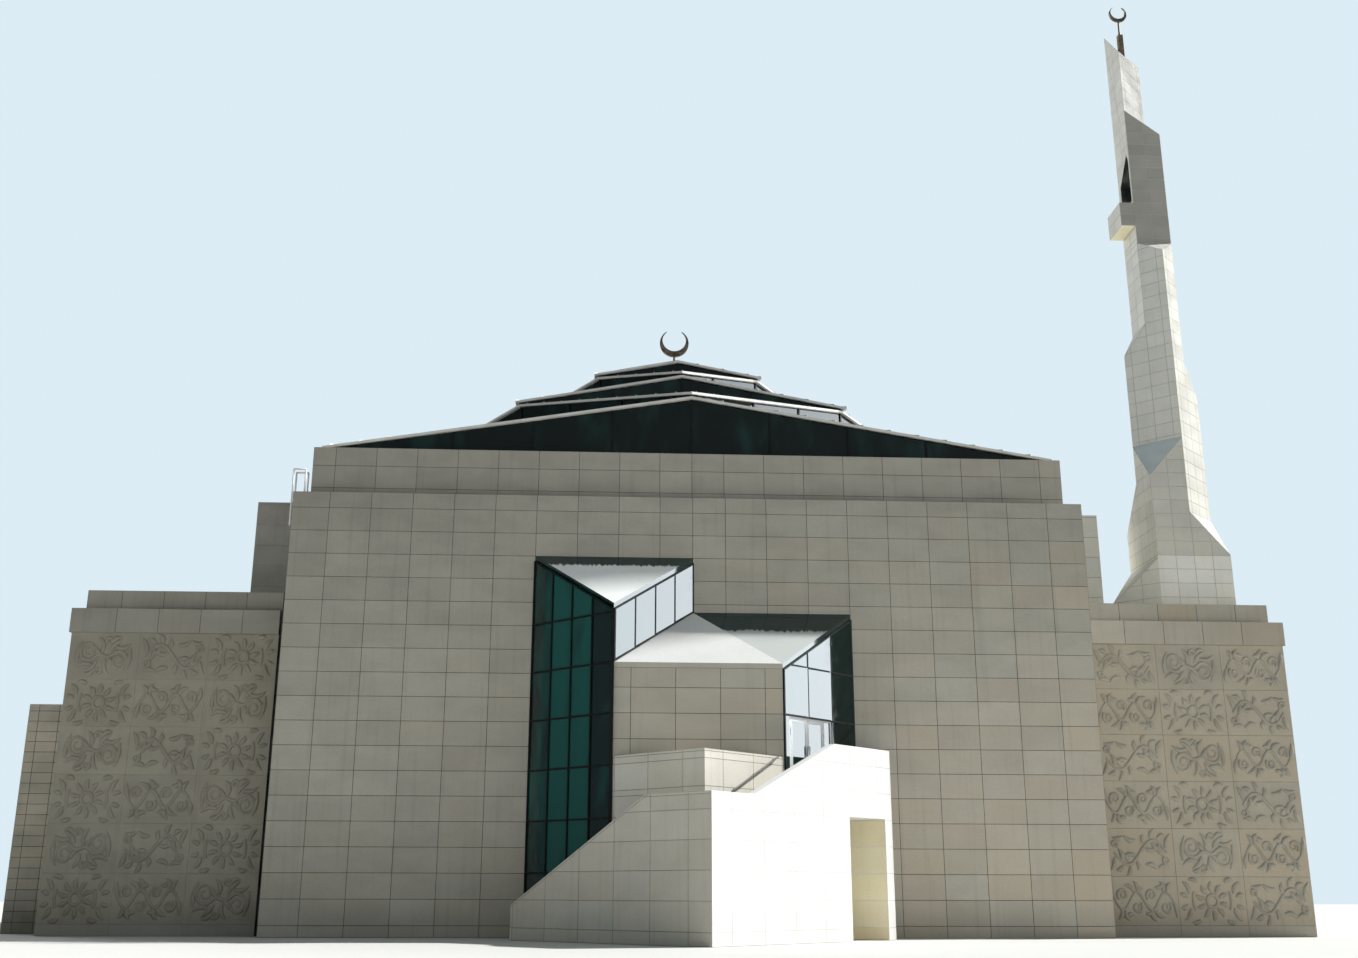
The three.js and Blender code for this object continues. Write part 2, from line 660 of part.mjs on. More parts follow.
function minaretTower() {
  const { x, y, half, top } = minaret;
  const firstDepth = half * diagonal;
  const secondDepth = half / 2;
  const at = (px, py, z) => [x + px * half, y + py * half, z];
  let tower = box(x - half, x + half, y - half, y + half, 0, top);
  tower = cut(tower, ...firstCuts.map((one) => wedge(one, firstDepth)));
  tower = cut(tower, ...secondCuts.map((one) => wedge(one, secondDepth)));
  tower = cut(tower, wedge(headCut, firstDepth));
  const { front, back, side } = bladeTop;
  const above = top + spareHeight;
  const slopeX = side - back;
  const slopeY = back - front;
  const lid = (px, py) => front + (py + 0.5) * slopeY + (px + 0.5) * slopeX;
  tower = cut(tower, hull(squareCorners.flatMap(([px, py]) => [at(px, py, lid(px, py)), at(px, py, above)])));
  const tip = x - buttress.reach;
  const inside = x - half + buttress.root;
  const corbel = hull([
    [tip, y, 0], [tip, y, buttress.low],
    ...[-1, 1].flatMap((way) => [
      [x - half, y + way * half, 0], [x - half, y + way * half, buttress.high],
      [inside, y + way * (half - buttress.root), 0],
      [inside, y + way * (half - buttress.root), buttress.high],
    ]),
  ]);
  const { near, far, foot, spring, tipY, tip: nicheTip, shoulder } = niche;
  const nicheShape = slab([x + half, near], 90, [
    [0, foot], [far - near, foot], [far - near, spring], [tipY - near, nicheTip], [0, shoulder],
  ], 2 * half);
  tower = cut(tower.add(corbel), nicheShape);
  const span = 3 * half;
  const slice = (low, high) => tower.intersect(box(x - span, x + span, y - span, y + span, low, high));
  const shaftFoot = buttress.high + buttress.shoulder;
  add('minaret_base', slice(0, shaftFoot), stone);
  add('minaret_shaft', slice(shaftFoot + fit, headFoot), stone);
  add('minaret_head', slice(headFoot + fit, above), stone);

  const face = x - half / 2;
  const [b0, b1] = [y - half / 2, y + half / 2];
  add('minaret_balcony', cut(
    box(face - balcony.reach, face - fit, b0, b1, balcony.low, balcony.high),
    box(face - balcony.reach + balcony.wall, face - balcony.wall, b0 + balcony.wall, b1 - balcony.wall,
      balcony.low + balcony.floor, balcony.high + bite),
  ), stone);

  const spotX = x - finial.offset;
  const { pedestalHalf, pedestalTop } = finial;
  const surface = (px, py) => lid((px - x) / half, (py - y) / half) + fit;
  const pedestal = hull(squareCorners.flatMap(([dx, dy]) => {
    const [px, py] = [spotX + dx * pedestalHalf, y + dy * pedestalHalf];
    return [[px, py, surface(px, py)], [px, py, pedestalTop]];
  }));
  crescent('minaret_crescent', spotX, y, pedestalTop, finial, pedestal);
}

hallWalls();
hallFloors();
const capPeak = glassRoof();
crescent('roof_crescent', 0, hallCentreY, capPeak + fit, roofFinial);
entranceBay();
entranceDoors();
stairWalls();
stairFlights();
handrail();
wing('left', -1);
wing('right', 1);
annex();
minaretTower();

export default building;
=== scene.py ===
import math
import random
from collections import namedtuple

import bmesh
import bpy
from mathutils import Matrix, Vector


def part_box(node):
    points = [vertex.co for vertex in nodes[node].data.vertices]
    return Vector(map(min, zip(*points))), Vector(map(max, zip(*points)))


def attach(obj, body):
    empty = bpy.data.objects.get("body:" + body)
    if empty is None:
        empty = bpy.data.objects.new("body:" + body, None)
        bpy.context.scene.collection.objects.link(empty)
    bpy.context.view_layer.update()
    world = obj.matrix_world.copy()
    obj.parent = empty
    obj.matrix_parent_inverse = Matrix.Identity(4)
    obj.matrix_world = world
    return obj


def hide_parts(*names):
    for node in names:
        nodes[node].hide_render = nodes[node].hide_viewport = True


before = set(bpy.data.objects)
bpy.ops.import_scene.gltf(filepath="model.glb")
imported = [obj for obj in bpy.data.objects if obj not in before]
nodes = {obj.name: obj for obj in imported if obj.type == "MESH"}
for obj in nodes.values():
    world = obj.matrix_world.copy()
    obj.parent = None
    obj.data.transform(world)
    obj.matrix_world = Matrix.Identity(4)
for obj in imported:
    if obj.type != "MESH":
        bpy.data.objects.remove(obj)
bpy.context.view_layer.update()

# Mosque: stone panels with open joints, carved wing fronts, a glazed entrance bay and a
# glass roof. Metres, +Z up, the front faces -Y, the origin lies under the prayer hall.

body = "building"
diagonal = math.sqrt(0.5)
alongX = Vector((1, 0, 0))
alongY = Vector((0, 1, 0))
upward = Vector((0, 0, 1))
alongRight = Vector((diagonal, diagonal, 0))     # along the walls that face right and front
alongLeft = Vector((diagonal, -diagonal, 0))     # along the walls that face left and front
towardFront = Vector((0, -1, 0))
towardRight = Vector((diagonal, -diagonal, 0))
towardLeft = Vector((-diagonal, -diagonal, 0))
frontY = -11.628                                 # the hall's front face
bayHalf = 2.28                                   # half the width of each glass prism at the front wall
nodeGrid = {"columns": 6, "across": 240, "down": 280}


# Helpers for node trees

def addNode(tree, kind, **values):
    made = tree.nodes.new(kind)
    for key, value in values.items():
        setattr(made, key, value)
    return made


def setSocket(tree, socket, value):
    if isinstance(value, bpy.types.NodeSocket):
        tree.links.new(value, socket)
    else:
        socket.default_value = value


def linkAll(tree, pairs):
    for source, target in pairs:
        tree.links.new(source, target)


def layOut(tree):
    for number, node in enumerate(tree.nodes):
        row, column = divmod(number, nodeGrid["columns"])
        node.location = (column * nodeGrid["across"], -row * nodeGrid["down"])


def mixColour(tree, factor, low, high):
    made = addNode(tree, "ShaderNodeMix", data_type="RGBA")
    setSocket(tree, made.inputs[0], factor)
    for number, colour in ((6, low), (7, high)):
        setSocket(tree, made.inputs[number], (*colour, 1) if isinstance(colour, tuple) else colour)
    return made.outputs[2]


def calc(tree, operation, first, second=0.0, clamp=False):
    made = addNode(tree, "ShaderNodeMath", operation=operation, use_clamp=clamp)
    setSocket(tree, made.inputs[0], first)
    setSocket(tree, made.inputs[1], second)
    return made.outputs[0]


def remap(tree, value, low, high, toLow=0.0, toHigh=1.0):
    made = addNode(tree, "ShaderNodeMapRange", interpolation_type="SMOOTHSTEP")
    for number, amount in enumerate((value, low, high, toLow, toHigh)):
        setSocket(tree, made.inputs[number], amount)
    return made.outputs[0]


def noise(tree, scale, detail=3.0, stretch=(1, 1, 1)):
    place = addNode(tree, "ShaderNodeTexCoord")
    mapping = addNode(tree, "ShaderNodeMapping")
    mapping.inputs["Scale"].default_value = stretch
    made = addNode(tree, "ShaderNodeTexNoise")
    tree.links.new(place.outputs["Object"], mapping.inputs["Vector"])
    tree.links.new(mapping.outputs["Vector"], made.inputs["Vector"])
    setSocket(tree, made.inputs["Scale"], scale)
    made.inputs["Detail"].default_value = detail
    return made.outputs[0]


def coordinate(tree, axis):
    place = addNode(tree, "ShaderNodeTexCoord")
    parts = addNode(tree, "ShaderNodeSeparateXYZ")
    tree.links.new(place.outputs["Object"], parts.inputs[0])
    return parts.outputs[axis]


def attribute(tree, name):
    return addNode(tree, "ShaderNodeAttribute", attribute_name=name).outputs["Fac"]


def startGroup(name, treeKind, inputs, outputs):
    tree = bpy.data.node_groups.new(name, treeKind)
    for label, given in inputs.items():
        kind, value = given if isinstance(given, tuple) else ("Float", given)
        socket = tree.interface.new_socket(label, in_out="INPUT", socket_type="NodeSocket" + kind)
        if value is not None:
            socket.default_value = value
    for label in outputs:
        kind = "Geometry" if label == "Geometry" else "Float"
        tree.interface.new_socket(label, in_out="OUTPUT", socket_type="NodeSocket" + kind)
    return tree, addNode(tree, "NodeGroupInput"), addNode(tree, "NodeGroupOutput")


def placeGroup(tree, group, values):
    made = addNode(tree, "ShaderNodeGroup", node_tree=group)
    for label, value in values.items():
        setSocket(tree, made.inputs[label], value)
    return made


def startMaterial(name, settings):
    material = bpy.data.materials.new(name)
    material.use_nodes = True
    tree = material.node_tree
    shader = tree.nodes["Principled BSDF"]
    for label, value in settings.items():
        shader.inputs[label].default_value = value
    return material, tree, shader


def closeMaterial(tree, shader, colour, rough, relief, strength, distance):
    bump = addNode(tree, "ShaderNodeBump")
    bump.inputs["Strength"].default_value = strength
    bump.inputs["Distance"].default_value = distance
    linkAll(tree, (
        (colour, shader.inputs["Base Color"]), (rough, shader.inputs["Roughness"]),
        (relief, bump.inputs["Height"]), (bump.outputs["Normal"], shader.inputs["Normal"]),
    ))
    layOut(tree)


# Shader groups that several finishes share

# Each layer of wear: its scale input, the detail and stretch of its noise, and where it starts and ends
wearLayers = {
    "Clouds": ("Cloud Scale", 5.0, (1, 1, 1.7), (0.3, 0.7)),
    "Grain": ("Grain Scale", 4.0, (1, 1, 1.5), None),
    "Streaks": ("Streak Scale", 4.0, (6, 6, 0.25), (0.52, 0.75)),
}
grimeScale = 1.3
dustLook = {"detail": 6.0, "top": 0.8, "width": 0.3}


def makeStoneWear():
    tree, entry, leave = startGroup(
        "stoneWear", "ShaderNodeTree", {"Cloud Scale": 0.6, "Grain Scale": 40.0, "Streak Scale": 1.0},
        tuple(wearLayers),
    )
    for output, (scale, detail, stretch, edges) in wearLayers.items():
        value = noise(tree, entry.outputs[scale], detail, stretch)
        if edges:
            value = remap(tree, value, *edges)
        tree.links.new(value, leave.inputs[output])
    layOut(tree)
    return tree


def makeGroundGrime():
    tree, entry, leave = startGroup(
        "groundGrime", "ShaderNodeTree", {"Reach": 0.8, "Raggedness": 0.5}, ("Grime",),
    )
    ragged = calc(tree, "MULTIPLY", noise(tree, grimeScale), entry.outputs["Raggedness"])
    lifted = calc(tree, "SUBTRACT", coordinate(tree, "Z"), ragged)
    grime = remap(tree, lifted, 0.0, entry.outputs["Reach"], 1.0, 0.0)
    tree.links.new(grime, leave.inputs["Grime"])
    layOut(tree)
    return tree


def makeRoofDust():
    inputs = {"Scale": 2.0, "Amount": 0.5}
    tree, entry, leave = startGroup("roofDust", "ShaderNodeTree", inputs, ("Dust",))
    spots = noise(tree, entry.outputs["Scale"], dustLook["detail"])
    low = calc(tree, "SUBTRACT", dustLook["top"], entry.outputs["Amount"])
    high = calc(tree, "ADD", low, dustLook["width"])
    tree.links.new(remap(tree, spots, low, high), leave.inputs["Dust"])
    layOut(tree)
    return tree


stoneWear = makeStoneWear()
groundGrime = makeGroundGrime()
roofDust = makeRoofDust()

# Stone: light and dark clouds, warm panels, streaks, grime at the foot, spread of the panels' tones
stoneLooks = {
    "facadeStone": ((0.56, 0.53, 0.45), (0.50, 0.475, 0.405), (0.58, 0.50, 0.38), 0.08, 0.12, 0.07),
    "bandStone": ((0.575, 0.545, 0.46), (0.52, 0.49, 0.42), (0.53, 0.455, 0.33), 0.10, 0.0, 0.06),
    "plinthStone": ((0.50, 0.48, 0.42), (0.44, 0.42, 0.37), (0.52, 0.47, 0.38), 0.08, 0.1, 0.05),
    "annexStone": ((0.57, 0.515, 0.41), (0.46, 0.425, 0.35), (0.60, 0.50, 0.36), 0.06, 0.5, 0.08),
    "blockStone": ((0.385, 0.37, 0.325), (0.335, 0.32, 0.28), (0.385, 0.35, 0.28), 0.05, 0.0, 0.03),
    "towerStone": ((0.635, 0.62, 0.55), (0.575, 0.56, 0.50), (0.65, 0.61, 0.51), 0.05, 0.0, 0.05),
    "paleTowerStone": ((0.86, 0.85, 0.785), (0.80, 0.79, 0.73), (0.86, 0.82, 0.71), 0.05, 0.0, 0.05),
    "sunnyTowerStone": ((0.61, 0.60, 0.56), (0.57, 0.56, 0.52), (0.62, 0.59, 0.51), 0.05, 0.0, 0.05),
    "towerHeadStone": ((0.40, 0.39, 0.35), (0.36, 0.35, 0.315), (0.43, 0.40, 0.335), 0.05, 0.0, 0.06),
    "porchStone": ((0.80, 0.80, 0.765), (0.75, 0.745, 0.71), (0.77, 0.745, 0.67), 0.03, 0.0, 0.02),
    "stairStone": ((0.80, 0.78, 0.70), (0.73, 0.71, 0.635), (0.78, 0.72, 0.60), 0.06, 0.2, 0.05),
    "stairShadeStone": ((0.66, 0.64, 0.56), (0.60, 0.58, 0.51), (0.66, 0.60, 0.49), 0.06, 0.0, 0.05),
    "stairSunStone": ((0.86, 0.855, 0.82), (0.82, 0.815, 0.78), (0.85, 0.83, 0.775), 0.03, 0.1, 0.02),
    "carvedStone": ((0.535, 0.495, 0.395), (0.47, 0.435, 0.35), (0.55, 0.465, 0.345), 0.08, 0.15, 0.03),
    "carvedStroke": ((0.455, 0.42, 0.34), (0.385, 0.355, 0.29), (0.435, 0.375, 0.285), 0.08, 0.15, 0.0),
    "carvedStrokeLeft": ((0.335, 0.31, 0.255), (0.28, 0.26, 0.21), (0.325, 0.285, 0.22), 0.08, 0.15, 0.0),
    "pavingStone": ((0.56, 0.54, 0.49), (0.46, 0.44, 0.40), (0.50, 0.46, 0.38), 0.0, 0.0, 0.08),
    "jointFiller": ((0.20, 0.18, 0.15), (0.13, 0.12, 0.10), (0.16, 0.14, 0.11), 0.0, 0.2, 0.0),
    "roofStone": ((0.78, 0.76, 0.71), (0.66, 0.64, 0.59), (0.66, 0.62, 0.54), 0.0, 0.0, 0.08),
    "revealStone": ((0.92, 0.85, 0.61), (0.85, 0.785, 0.56), (0.86, 0.75, 0.50), 0.06, 0.05, 0.05),
    "towerFiller": ((0.58, 0.565, 0.505), (0.50, 0.49, 0.44), (0.56, 0.53, 0.45), 0.0, 0.0, 0.0),
    "paleFiller": ((0.42, 0.40, 0.35), (0.34, 0.33, 0.29), (0.38, 0.35, 0.29), 0.0, 0.1, 0.0),
}
stonesWithPaintedShade = ("facadeStone", "bandStone", "plinthStone", "carvedStone")     # darker higher up, and painted shade toward the left and on the left wing
stoneSurface = {
    "wear": {"Cloud Scale": 0.9, "Grain Scale": 55.0, "Streak Scale": 1.1}, "grime": {"Reach": 0.9},
    "speck": (0.35, 0.65, 0.93, 1.05), "rough": (0, 1, 0.84, 0.66), "bump": (0.25, 0.004),
}


def makeStone(name, look):
    light, dark, warm, streak, dirt, spread = look
    material, tree, shader = startMaterial(name, {})
    wear = placeGroup(tree, stoneWear, stoneSurface["wear"])
    grime = placeGroup(tree, groundGrime, stoneSurface["grime"])
    colour = mixColour(tree, wear.outputs["Clouds"], dark, light)
    colour = mixColour(tree, attribute(tree, "warmth"), colour, warm)
    shade = calc(tree, "MULTIPLY", attribute(tree, "tone"), spread)
    shade = calc(tree, "ADD", shade, 1.0)
    shade = calc(tree, "MULTIPLY", shade, remap(tree, wear.outputs["Grain"], *stoneSurface["speck"]))
    # Painted shade toward the left and on the left wing, and darkening higher up, as each face carries it
    if name in stonesWithPaintedShade:
        shade = calc(tree, "MULTIPLY", shade, calc(tree, "SUBTRACT", 1.0, attribute(tree, "heightDarkAndPaintedShade")))
    runs = calc(tree, "MULTIPLY", wear.outputs["Streaks"], streak)
    soil = calc(tree, "MULTIPLY", grime.outputs["Grime"], dirt)
    loss = calc(tree, "ADD", runs, soil, True)
    shade = calc(tree, "MULTIPLY", shade, calc(tree, "SUBTRACT", 1.0, loss))
    lit = addNode(tree, "ShaderNodeVectorMath", operation="SCALE")
    tree.links.new(colour, lit.inputs[0])
    tree.links.new(shade, lit.inputs["Scale"])
    rough = remap(tree, wear.outputs["Clouds"], *stoneSurface["rough"])
    closeMaterial(tree, shader, lit.outputs[0], rough, wear.outputs["Grain"], *stoneSurface["bump"])
    return material


# Glass: two shades, mixed per pane and in wavy streaks as painted reflection, and the index of refraction,
# which sets how much it mirrors
glassLooks = {
    "darkGlass": ((0.006, 0.028, 0.025), (0.012, 0.056, 0.050), 1.75),
    "roofGlass": ((0.002, 0.006, 0.005), (0.008, 0.040, 0.034), 1.4),
    "tealGlass": ((0.008, 0.020, 0.018), (0.010, 0.098, 0.084), 1.6),
    "shadeGlass": ((0.003, 0.020, 0.016), (0.006, 0.034, 0.028), 1.35),
}
glassSurface = {
    "haze": (1.1, 2.0, (1, 1, 0.35)), "toneShare": 0.4, "paintedReflection": (0.45, 0.85),
    "dust": {"Scale": 3.0, "Amount": 0.35}, "rough": (0, 1, 0.03, 0.09), "ripple": (0.8, 1.0),
    "bump": (0.10, 0.02),
}


def makeGlass(name, look):
    low, high, bend = look
    material, tree, shader = startMaterial(name, {"IOR": bend})
    # Pane tone and wavy noise blend the two shades as painted reflection
    paintedReflection = calc(tree, "MULTIPLY", attribute(tree, "tone"), glassSurface["toneShare"])
    paintedReflection = calc(tree, "ADD", paintedReflection, noise(tree, *glassSurface["haze"]))
    colour = mixColour(tree, remap(tree, paintedReflection, *glassSurface["paintedReflection"]), low, high)
    dust = placeGroup(tree, roofDust, glassSurface["dust"])
    rough = remap(tree, dust.outputs["Dust"], *glassSurface["rough"])
    ripple = noise(tree, *glassSurface["ripple"])
    closeMaterial(tree, shader, colour, rough, ripple, *glassSurface["bump"])
    return material


# Bay roofs in glass under dust, with painted shadow as a dust-free dark strip along the wall above: its
# width and the dust, set lighter on the left and darker on the right as painted light and shade
dustyLooks = {
    "dustyGlassLeft": (0.40, (0.92, 0.95, 0.90)),
    "dustyGlassRight": (0.80, (0.56, 0.59, 0.555)),
}
dustySurface = {
    "glass": (0.012, 0.040, 0.037), "drips": (9.0, 5.0, (1, 0.12, 0.12)), "dripReach": 0.32,
    "edge": (0.14, 0.24), "film": {"Scale": 1.6, "Amount": 0.75}, "thin": (0, 1, 0.72, 1.0),
    "rough": (0, 1, 0.06, 0.85), "grain": (30.0, 3.0), "bump": (0.1, 0.003),
}


def makeDustyGlass(name, look):
    shadowStrip, dust = look
    material, tree, shader = startMaterial(name, {})
    # A strip along the wall stays dark glass as painted shadow; the dust shows beyond it
    fromWall = calc(tree, "SUBTRACT", frontY, coordinate(tree, "Y"))
    drips = calc(tree, "MULTIPLY", noise(tree, *dustySurface["drips"]), dustySurface["dripReach"])
    edge = [shadowStrip + width for width in dustySurface["edge"]]
    cover = remap(tree, calc(tree, "ADD", fromWall, drips), *edge)
    film = placeGroup(tree, roofDust, dustySurface["film"])
    cover = calc(tree, "MULTIPLY", cover, remap(tree, film.outputs["Dust"], *dustySurface["thin"]))
    colour = mixColour(tree, cover, dustySurface["glass"], dust)
    rough = remap(tree, cover, *dustySurface["rough"])
    grain = noise(tree, *dustySurface["grain"])
    closeMaterial(tree, shader, colour, rough, grain, *dustySurface["bump"])
    return material


# Metal and paint: two shades, the range of roughness, metallic, gloss, scale of the patches, dust
metalLooks = {
    "roofSheet": ((0.52, 0.53, 0.51), (0.64, 0.65, 0.63), (0.34, 0.5), 0.6, 0.5, 1.5, 0.18),
    "paleTrim": ((0.62, 0.61, 0.57), (0.74, 0.73, 0.69), (0.4, 0.6), 0.0, 0.5, 2.0, 0.18),
    "darkFrame": ((0.003, 0.005, 0.005), (0.006, 0.009, 0.009), (0.4, 0.55), 0.0, 0.2, 4.0, 0.006),
    "whiteFrame": ((0.74, 0.75, 0.74), (0.82, 0.83, 0.82), (0.3, 0.42), 0.0, 0.5, 6.0, 0.18),
    "railMetal": ((0.48, 0.48, 0.47), (0.60, 0.60, 0.59), (0.24, 0.4), 1.0, 0.5, 9.0, 0.18),
    "railDark": ((0.07, 0.07, 0.068), (0.11, 0.11, 0.105), (0.35, 0.5), 0.4, 0.5, 9.0, 0.05),
    "dullBronze": ((0.10, 0.070, 0.045), (0.22, 0.155, 0.10), (0.32, 0.5), 0.85, 0.5, 5.0, 0.18),
    "recessShade": ((0.010, 0.016, 0.015), (0.018, 0.028, 0.026), (0.4, 0.6), 0.0, 0.5, 1.0, 0.18),
    "greyZinc": ((0.645, 0.72, 0.735), (0.75, 0.84, 0.85), (0.45, 0.6), 0.0, 0.5, 2.0, 0.18),
}
metalSurface = {
    "detail": 4.0, "patches": (0.3, 0.7), "dustAmount": 0.45, "dustColour": (0.55, 0.52, 0.46),
    "grain": (60.0, 2.0), "bump": (0.08, 0.001),
}


def makeMetal(name, look):
    low, high, rough, metallic, gloss, scale, dust = look
    material, tree, shader = startMaterial(name, {"Metallic": metallic, "Specular IOR Level": gloss})
    patches = noise(tree, scale, metalSurface["detail"])
    spots = placeGroup(tree, roofDust, {"Scale": scale * 2, "Amount": metalSurface["dustAmount"]})
    colour = mixColour(tree, remap(tree, patches, *metalSurface["patches"]), low, high)
    dusty = calc(tree, "MULTIPLY", spots.outputs["Dust"], dust)
    colour = mixColour(tree, dusty, colour, metalSurface["dustColour"])
    rough = remap(tree, patches, *metalSurface["patches"], *rough)
    grain = noise(tree, *metalSurface["grain"])
    closeMaterial(tree, shader, colour, rough, grain, *metalSurface["bump"])
    return material


finishes = {}
for make, looks in (
    (makeStone, stoneLooks), (makeGlass, glassLooks), (makeDustyGlass, dustyLooks), (makeMetal, metalLooks),
):
    for name, look in looks.items():
        finishes[name] = make(name, look)
print("finishes made:", len(finishes))


# Mesh helpers

meshRules = {
    "merge": 1e-4, "flat": math.radians(0.5),     # corners this near and faces this even are joined
    "sliver": 0.02,                               # no cut comes nearer to an edge
    "lean": 0.3, "skew": 0.04,                    # least part of a normal one way, and most across it
}


def finishMesh(bm, name, names):
    mesh = bpy.data.meshes.new(name)
    bm.to_mesh(mesh)
    bm.free()
    for finish in names:
        mesh.materials.append(finishes[finish])
    return mesh


def addObject(name, data):
    made = bpy.data.objects.new(name, data)
    bpy.context.scene.collection.objects.link(made)
    return made


def linkPiece(name, mesh, stands=(), rideOn=body):
    piece = addObject(name, mesh)
    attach(piece, rideOn)
    if stands:
        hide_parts(*stands)


def finishPiece(bm, name, names, stands=(), rideOn=body):
    linkPiece(name, finishMesh(bm, name, names), stands, rideOn)


def paint(finish, *nodeNames):
    for nodeName in nodeNames:
        slots = nodes[nodeName].data.materials
        slots.clear()
        slots.append(finishes[finish])


def joinFlat(bm):
    bmesh.ops.dissolve_limit(bm, angle_limit=meshRules["flat"], verts=bm.verts, edges=bm.edges)
    bm.normal_update()


def nodeCopy(nodeName):
    bm = bmesh.new()
    bm.from_mesh(nodes[nodeName].data)
    bmesh.ops.remove_doubles(bm, verts=bm.verts, dist=meshRules["merge"])
    joinFlat(bm)
    return bm


def markTops(bm):
    for face in bm.faces:
        face.material_index = 0 if face.normal.z > meshRules["lean"] else 1


def cutAt(bm, faces, normal, offsets):
    for offset in offsets:
        if not faces:
            break
        reach = [normal.dot(v.co) for f in faces for v in f.verts]
        if not min(reach) + meshRules["sliver"] < offset < max(reach) - meshRules["sliver"]:
            continue
        parts = {part for f in faces for part in (f, *f.edges, *f.verts)}
        result = bmesh.ops.bisect_plane(
            bm, geom=list(parts), dist=meshRules["merge"], plane_co=normal * offset, plane_no=normal,
        )
        faces = [g for g in result["geom"] if isinstance(g, bmesh.types.BMFace)]
    return faces


def steps(first, pitch, count):
    return [first + pitch * k for k in range(count)]


def bothWays(values):
    return sorted({round(side * v, 4) for v in values for side in (-1, 1)})


def flatNormal(face):
    return Vector((face.normal.x, face.normal.y, 0))


def isAlong(face, along):
    flat = flatNormal(face)
    return flat.length > meshRules["lean"] and abs(flat.normalized().dot(along)) < meshRules["skew"]


# Stone panels: each face is cut into panels, and the open joint between two is a groove

# The stone darkens high up, and painted shade darkens it toward the left and on the left wing; warm panels
# are most frequent near the foot and on the right.
panels = {
    "joint": 0.015, "depth": 0.012, "width": 1.2, "course": 0.68, "foot": 0.306, "levels": 48,
    "first": 0.96, "attic": 12.584, "coping": 0.06, "towerFoot": 10.06, "towerCourse": 0.45,
    "heightDarkening": 0.25, "high": (6.0, 12.0), "leftPaintedShade": 0.13, "left": (0, 11.6),
    "wingPaintedShade": 0.17, "wingFrom": 12.0,
    "tone": 0.45, "warm": 0.42, "warmUp": -0.05, "warmRight": 0.02, "warmth": 0.18,
    "level": 0.5, "steep": 0.9, "outside": 0.1, "sameWay": 0.98,
}
courses = steps(panels["foot"], panels["course"], panels["levels"])
towerCourses = steps(panels["towerFoot"], panels["towerCourse"], panels["levels"])


rule = namedtuple("rule", "along offsets levels facing finish footFinish", defaults=(courses, None, 0, 0))


def share(value, low, high):
    return min(max((value - low) / (high - low), 0), 1)


# Painted shade grows toward the left and steps up on the left wing; the stone also darkens higher up
def heightDarkAndPaintedShadeAt(spot):
    heightDarkAndPaintedShade = panels["heightDarkening"] * share(spot.z, *panels["high"])
    heightDarkAndPaintedShade += panels["leftPaintedShade"] * share(-spot.x, *panels["left"])
    return heightDarkAndPaintedShade + panels["wingPaintedShade"] if -spot.x > panels["wingFrom"] else heightDarkAndPaintedShade


def copingPlanes(bm):
    planes = {}
    for face in bm.faces:
        if face.normal.z > panels["level"]:
            offset = face.normal.dot(face.verts[0].co) - panels["coping"] * face.normal.z
            planes[tuple(round(n, 3) for n in (*face.normal, offset))] = (face.normal.copy(), offset)
    return list(planes.values())


def claimFaces(bm, free, rules, planes, spareLevels):
    claimed = []
    for law in rules:
        mine = [
            f for f in free if isAlong(f, law.along)
            and (law.facing is None or f.normal.dot(law.facing) > meshRules["lean"])
        ]
        taken = set(mine)
        free = [f for f in free if f not in taken]
        for normal, offset in planes:
            mine = cutAt(bm, mine, normal, [offset])
        mine = cutAt(bm, mine, law.along, law.offsets)
        claimed.append((law, cutAt(bm, mine, upward, law.levels)))
    return [*claimed, (rule(None, ()), cutAt(bm, free, upward, spareLevels))]


def openJoints(bm, cladding, fillerNumber):
    push = {}
    for face in cladding:
        for vert in face.verts:
            push.setdefault(vert, []).append(face.normal.copy())
    result = bmesh.ops.inset_individual(
        bm, faces=cladding, thickness=panels["joint"] / 2, depth=0, use_even_offset=True,
    )
    for face in result["faces"]:
        face.material_index = fillerNumber
    for vert, normals in push.items():
        kept = []
        for normal in normals:
            if all(normal.dot(other) < panels["sameWay"] for other in kept):
                kept.append(normal)
        for normal in kept:
            vert.co -= normal * panels["depth"]


def panelSkin(
    nodeName, stones, rules, seed, centre=None, filler="jointFiller", odd=None, coping=False,
    spareLevels=courses,
):
    rng = random.Random(seed)
    bm = nodeCopy(nodeName)
    names = [*stones, filler] + ([odd[1]] if odd else [])
    tone = bm.faces.layers.float.new("tone")
    warmth = bm.faces.layers.float.new("warmth")
    heightDarkAndPaintedShade = bm.faces.layers.float.new("heightDarkAndPaintedShade")
    planes = copingPlanes(bm) if coping else []
    free = [f for f in bm.faces if abs(f.normal.z) < panels["steep"]]
    if centre is not None:
        free = [f for f in free if (f.calc_center_median() - centre).dot(f.normal) > panels["outside"]]
    if odd:
        for face in [f for f in bm.faces if odd[0](f)]:
            face.material_index = len(names) - 1
        free = [f for f in free if not odd[0](f)]
    claimed = claimFaces(bm, free, rules, planes, spareLevels)
    for law, faces in claimed:
        for face in faces:
            spot = face.calc_center_median()
            face[tone] = max(-1, min(1, rng.gauss(0, panels["tone"])))
            warm = panels["warm"] + panels["warmUp"] * spot.z + panels["warmRight"] * spot.x
            face[warmth] = max(0, warm + rng.gauss(0, panels["warmth"]))
            face[heightDarkAndPaintedShade] = heightDarkAndPaintedShadeAt(spot)
            atFoot = law.footFinish and spot.z < panels["foot"]
            face.material_index = law.footFinish if atFoot else law.finish
    openJoints(bm, [f for law, faces in claimed for f in faces], len(stones))
    finishPiece(bm, nodeName + "_panels", names, [nodeName])


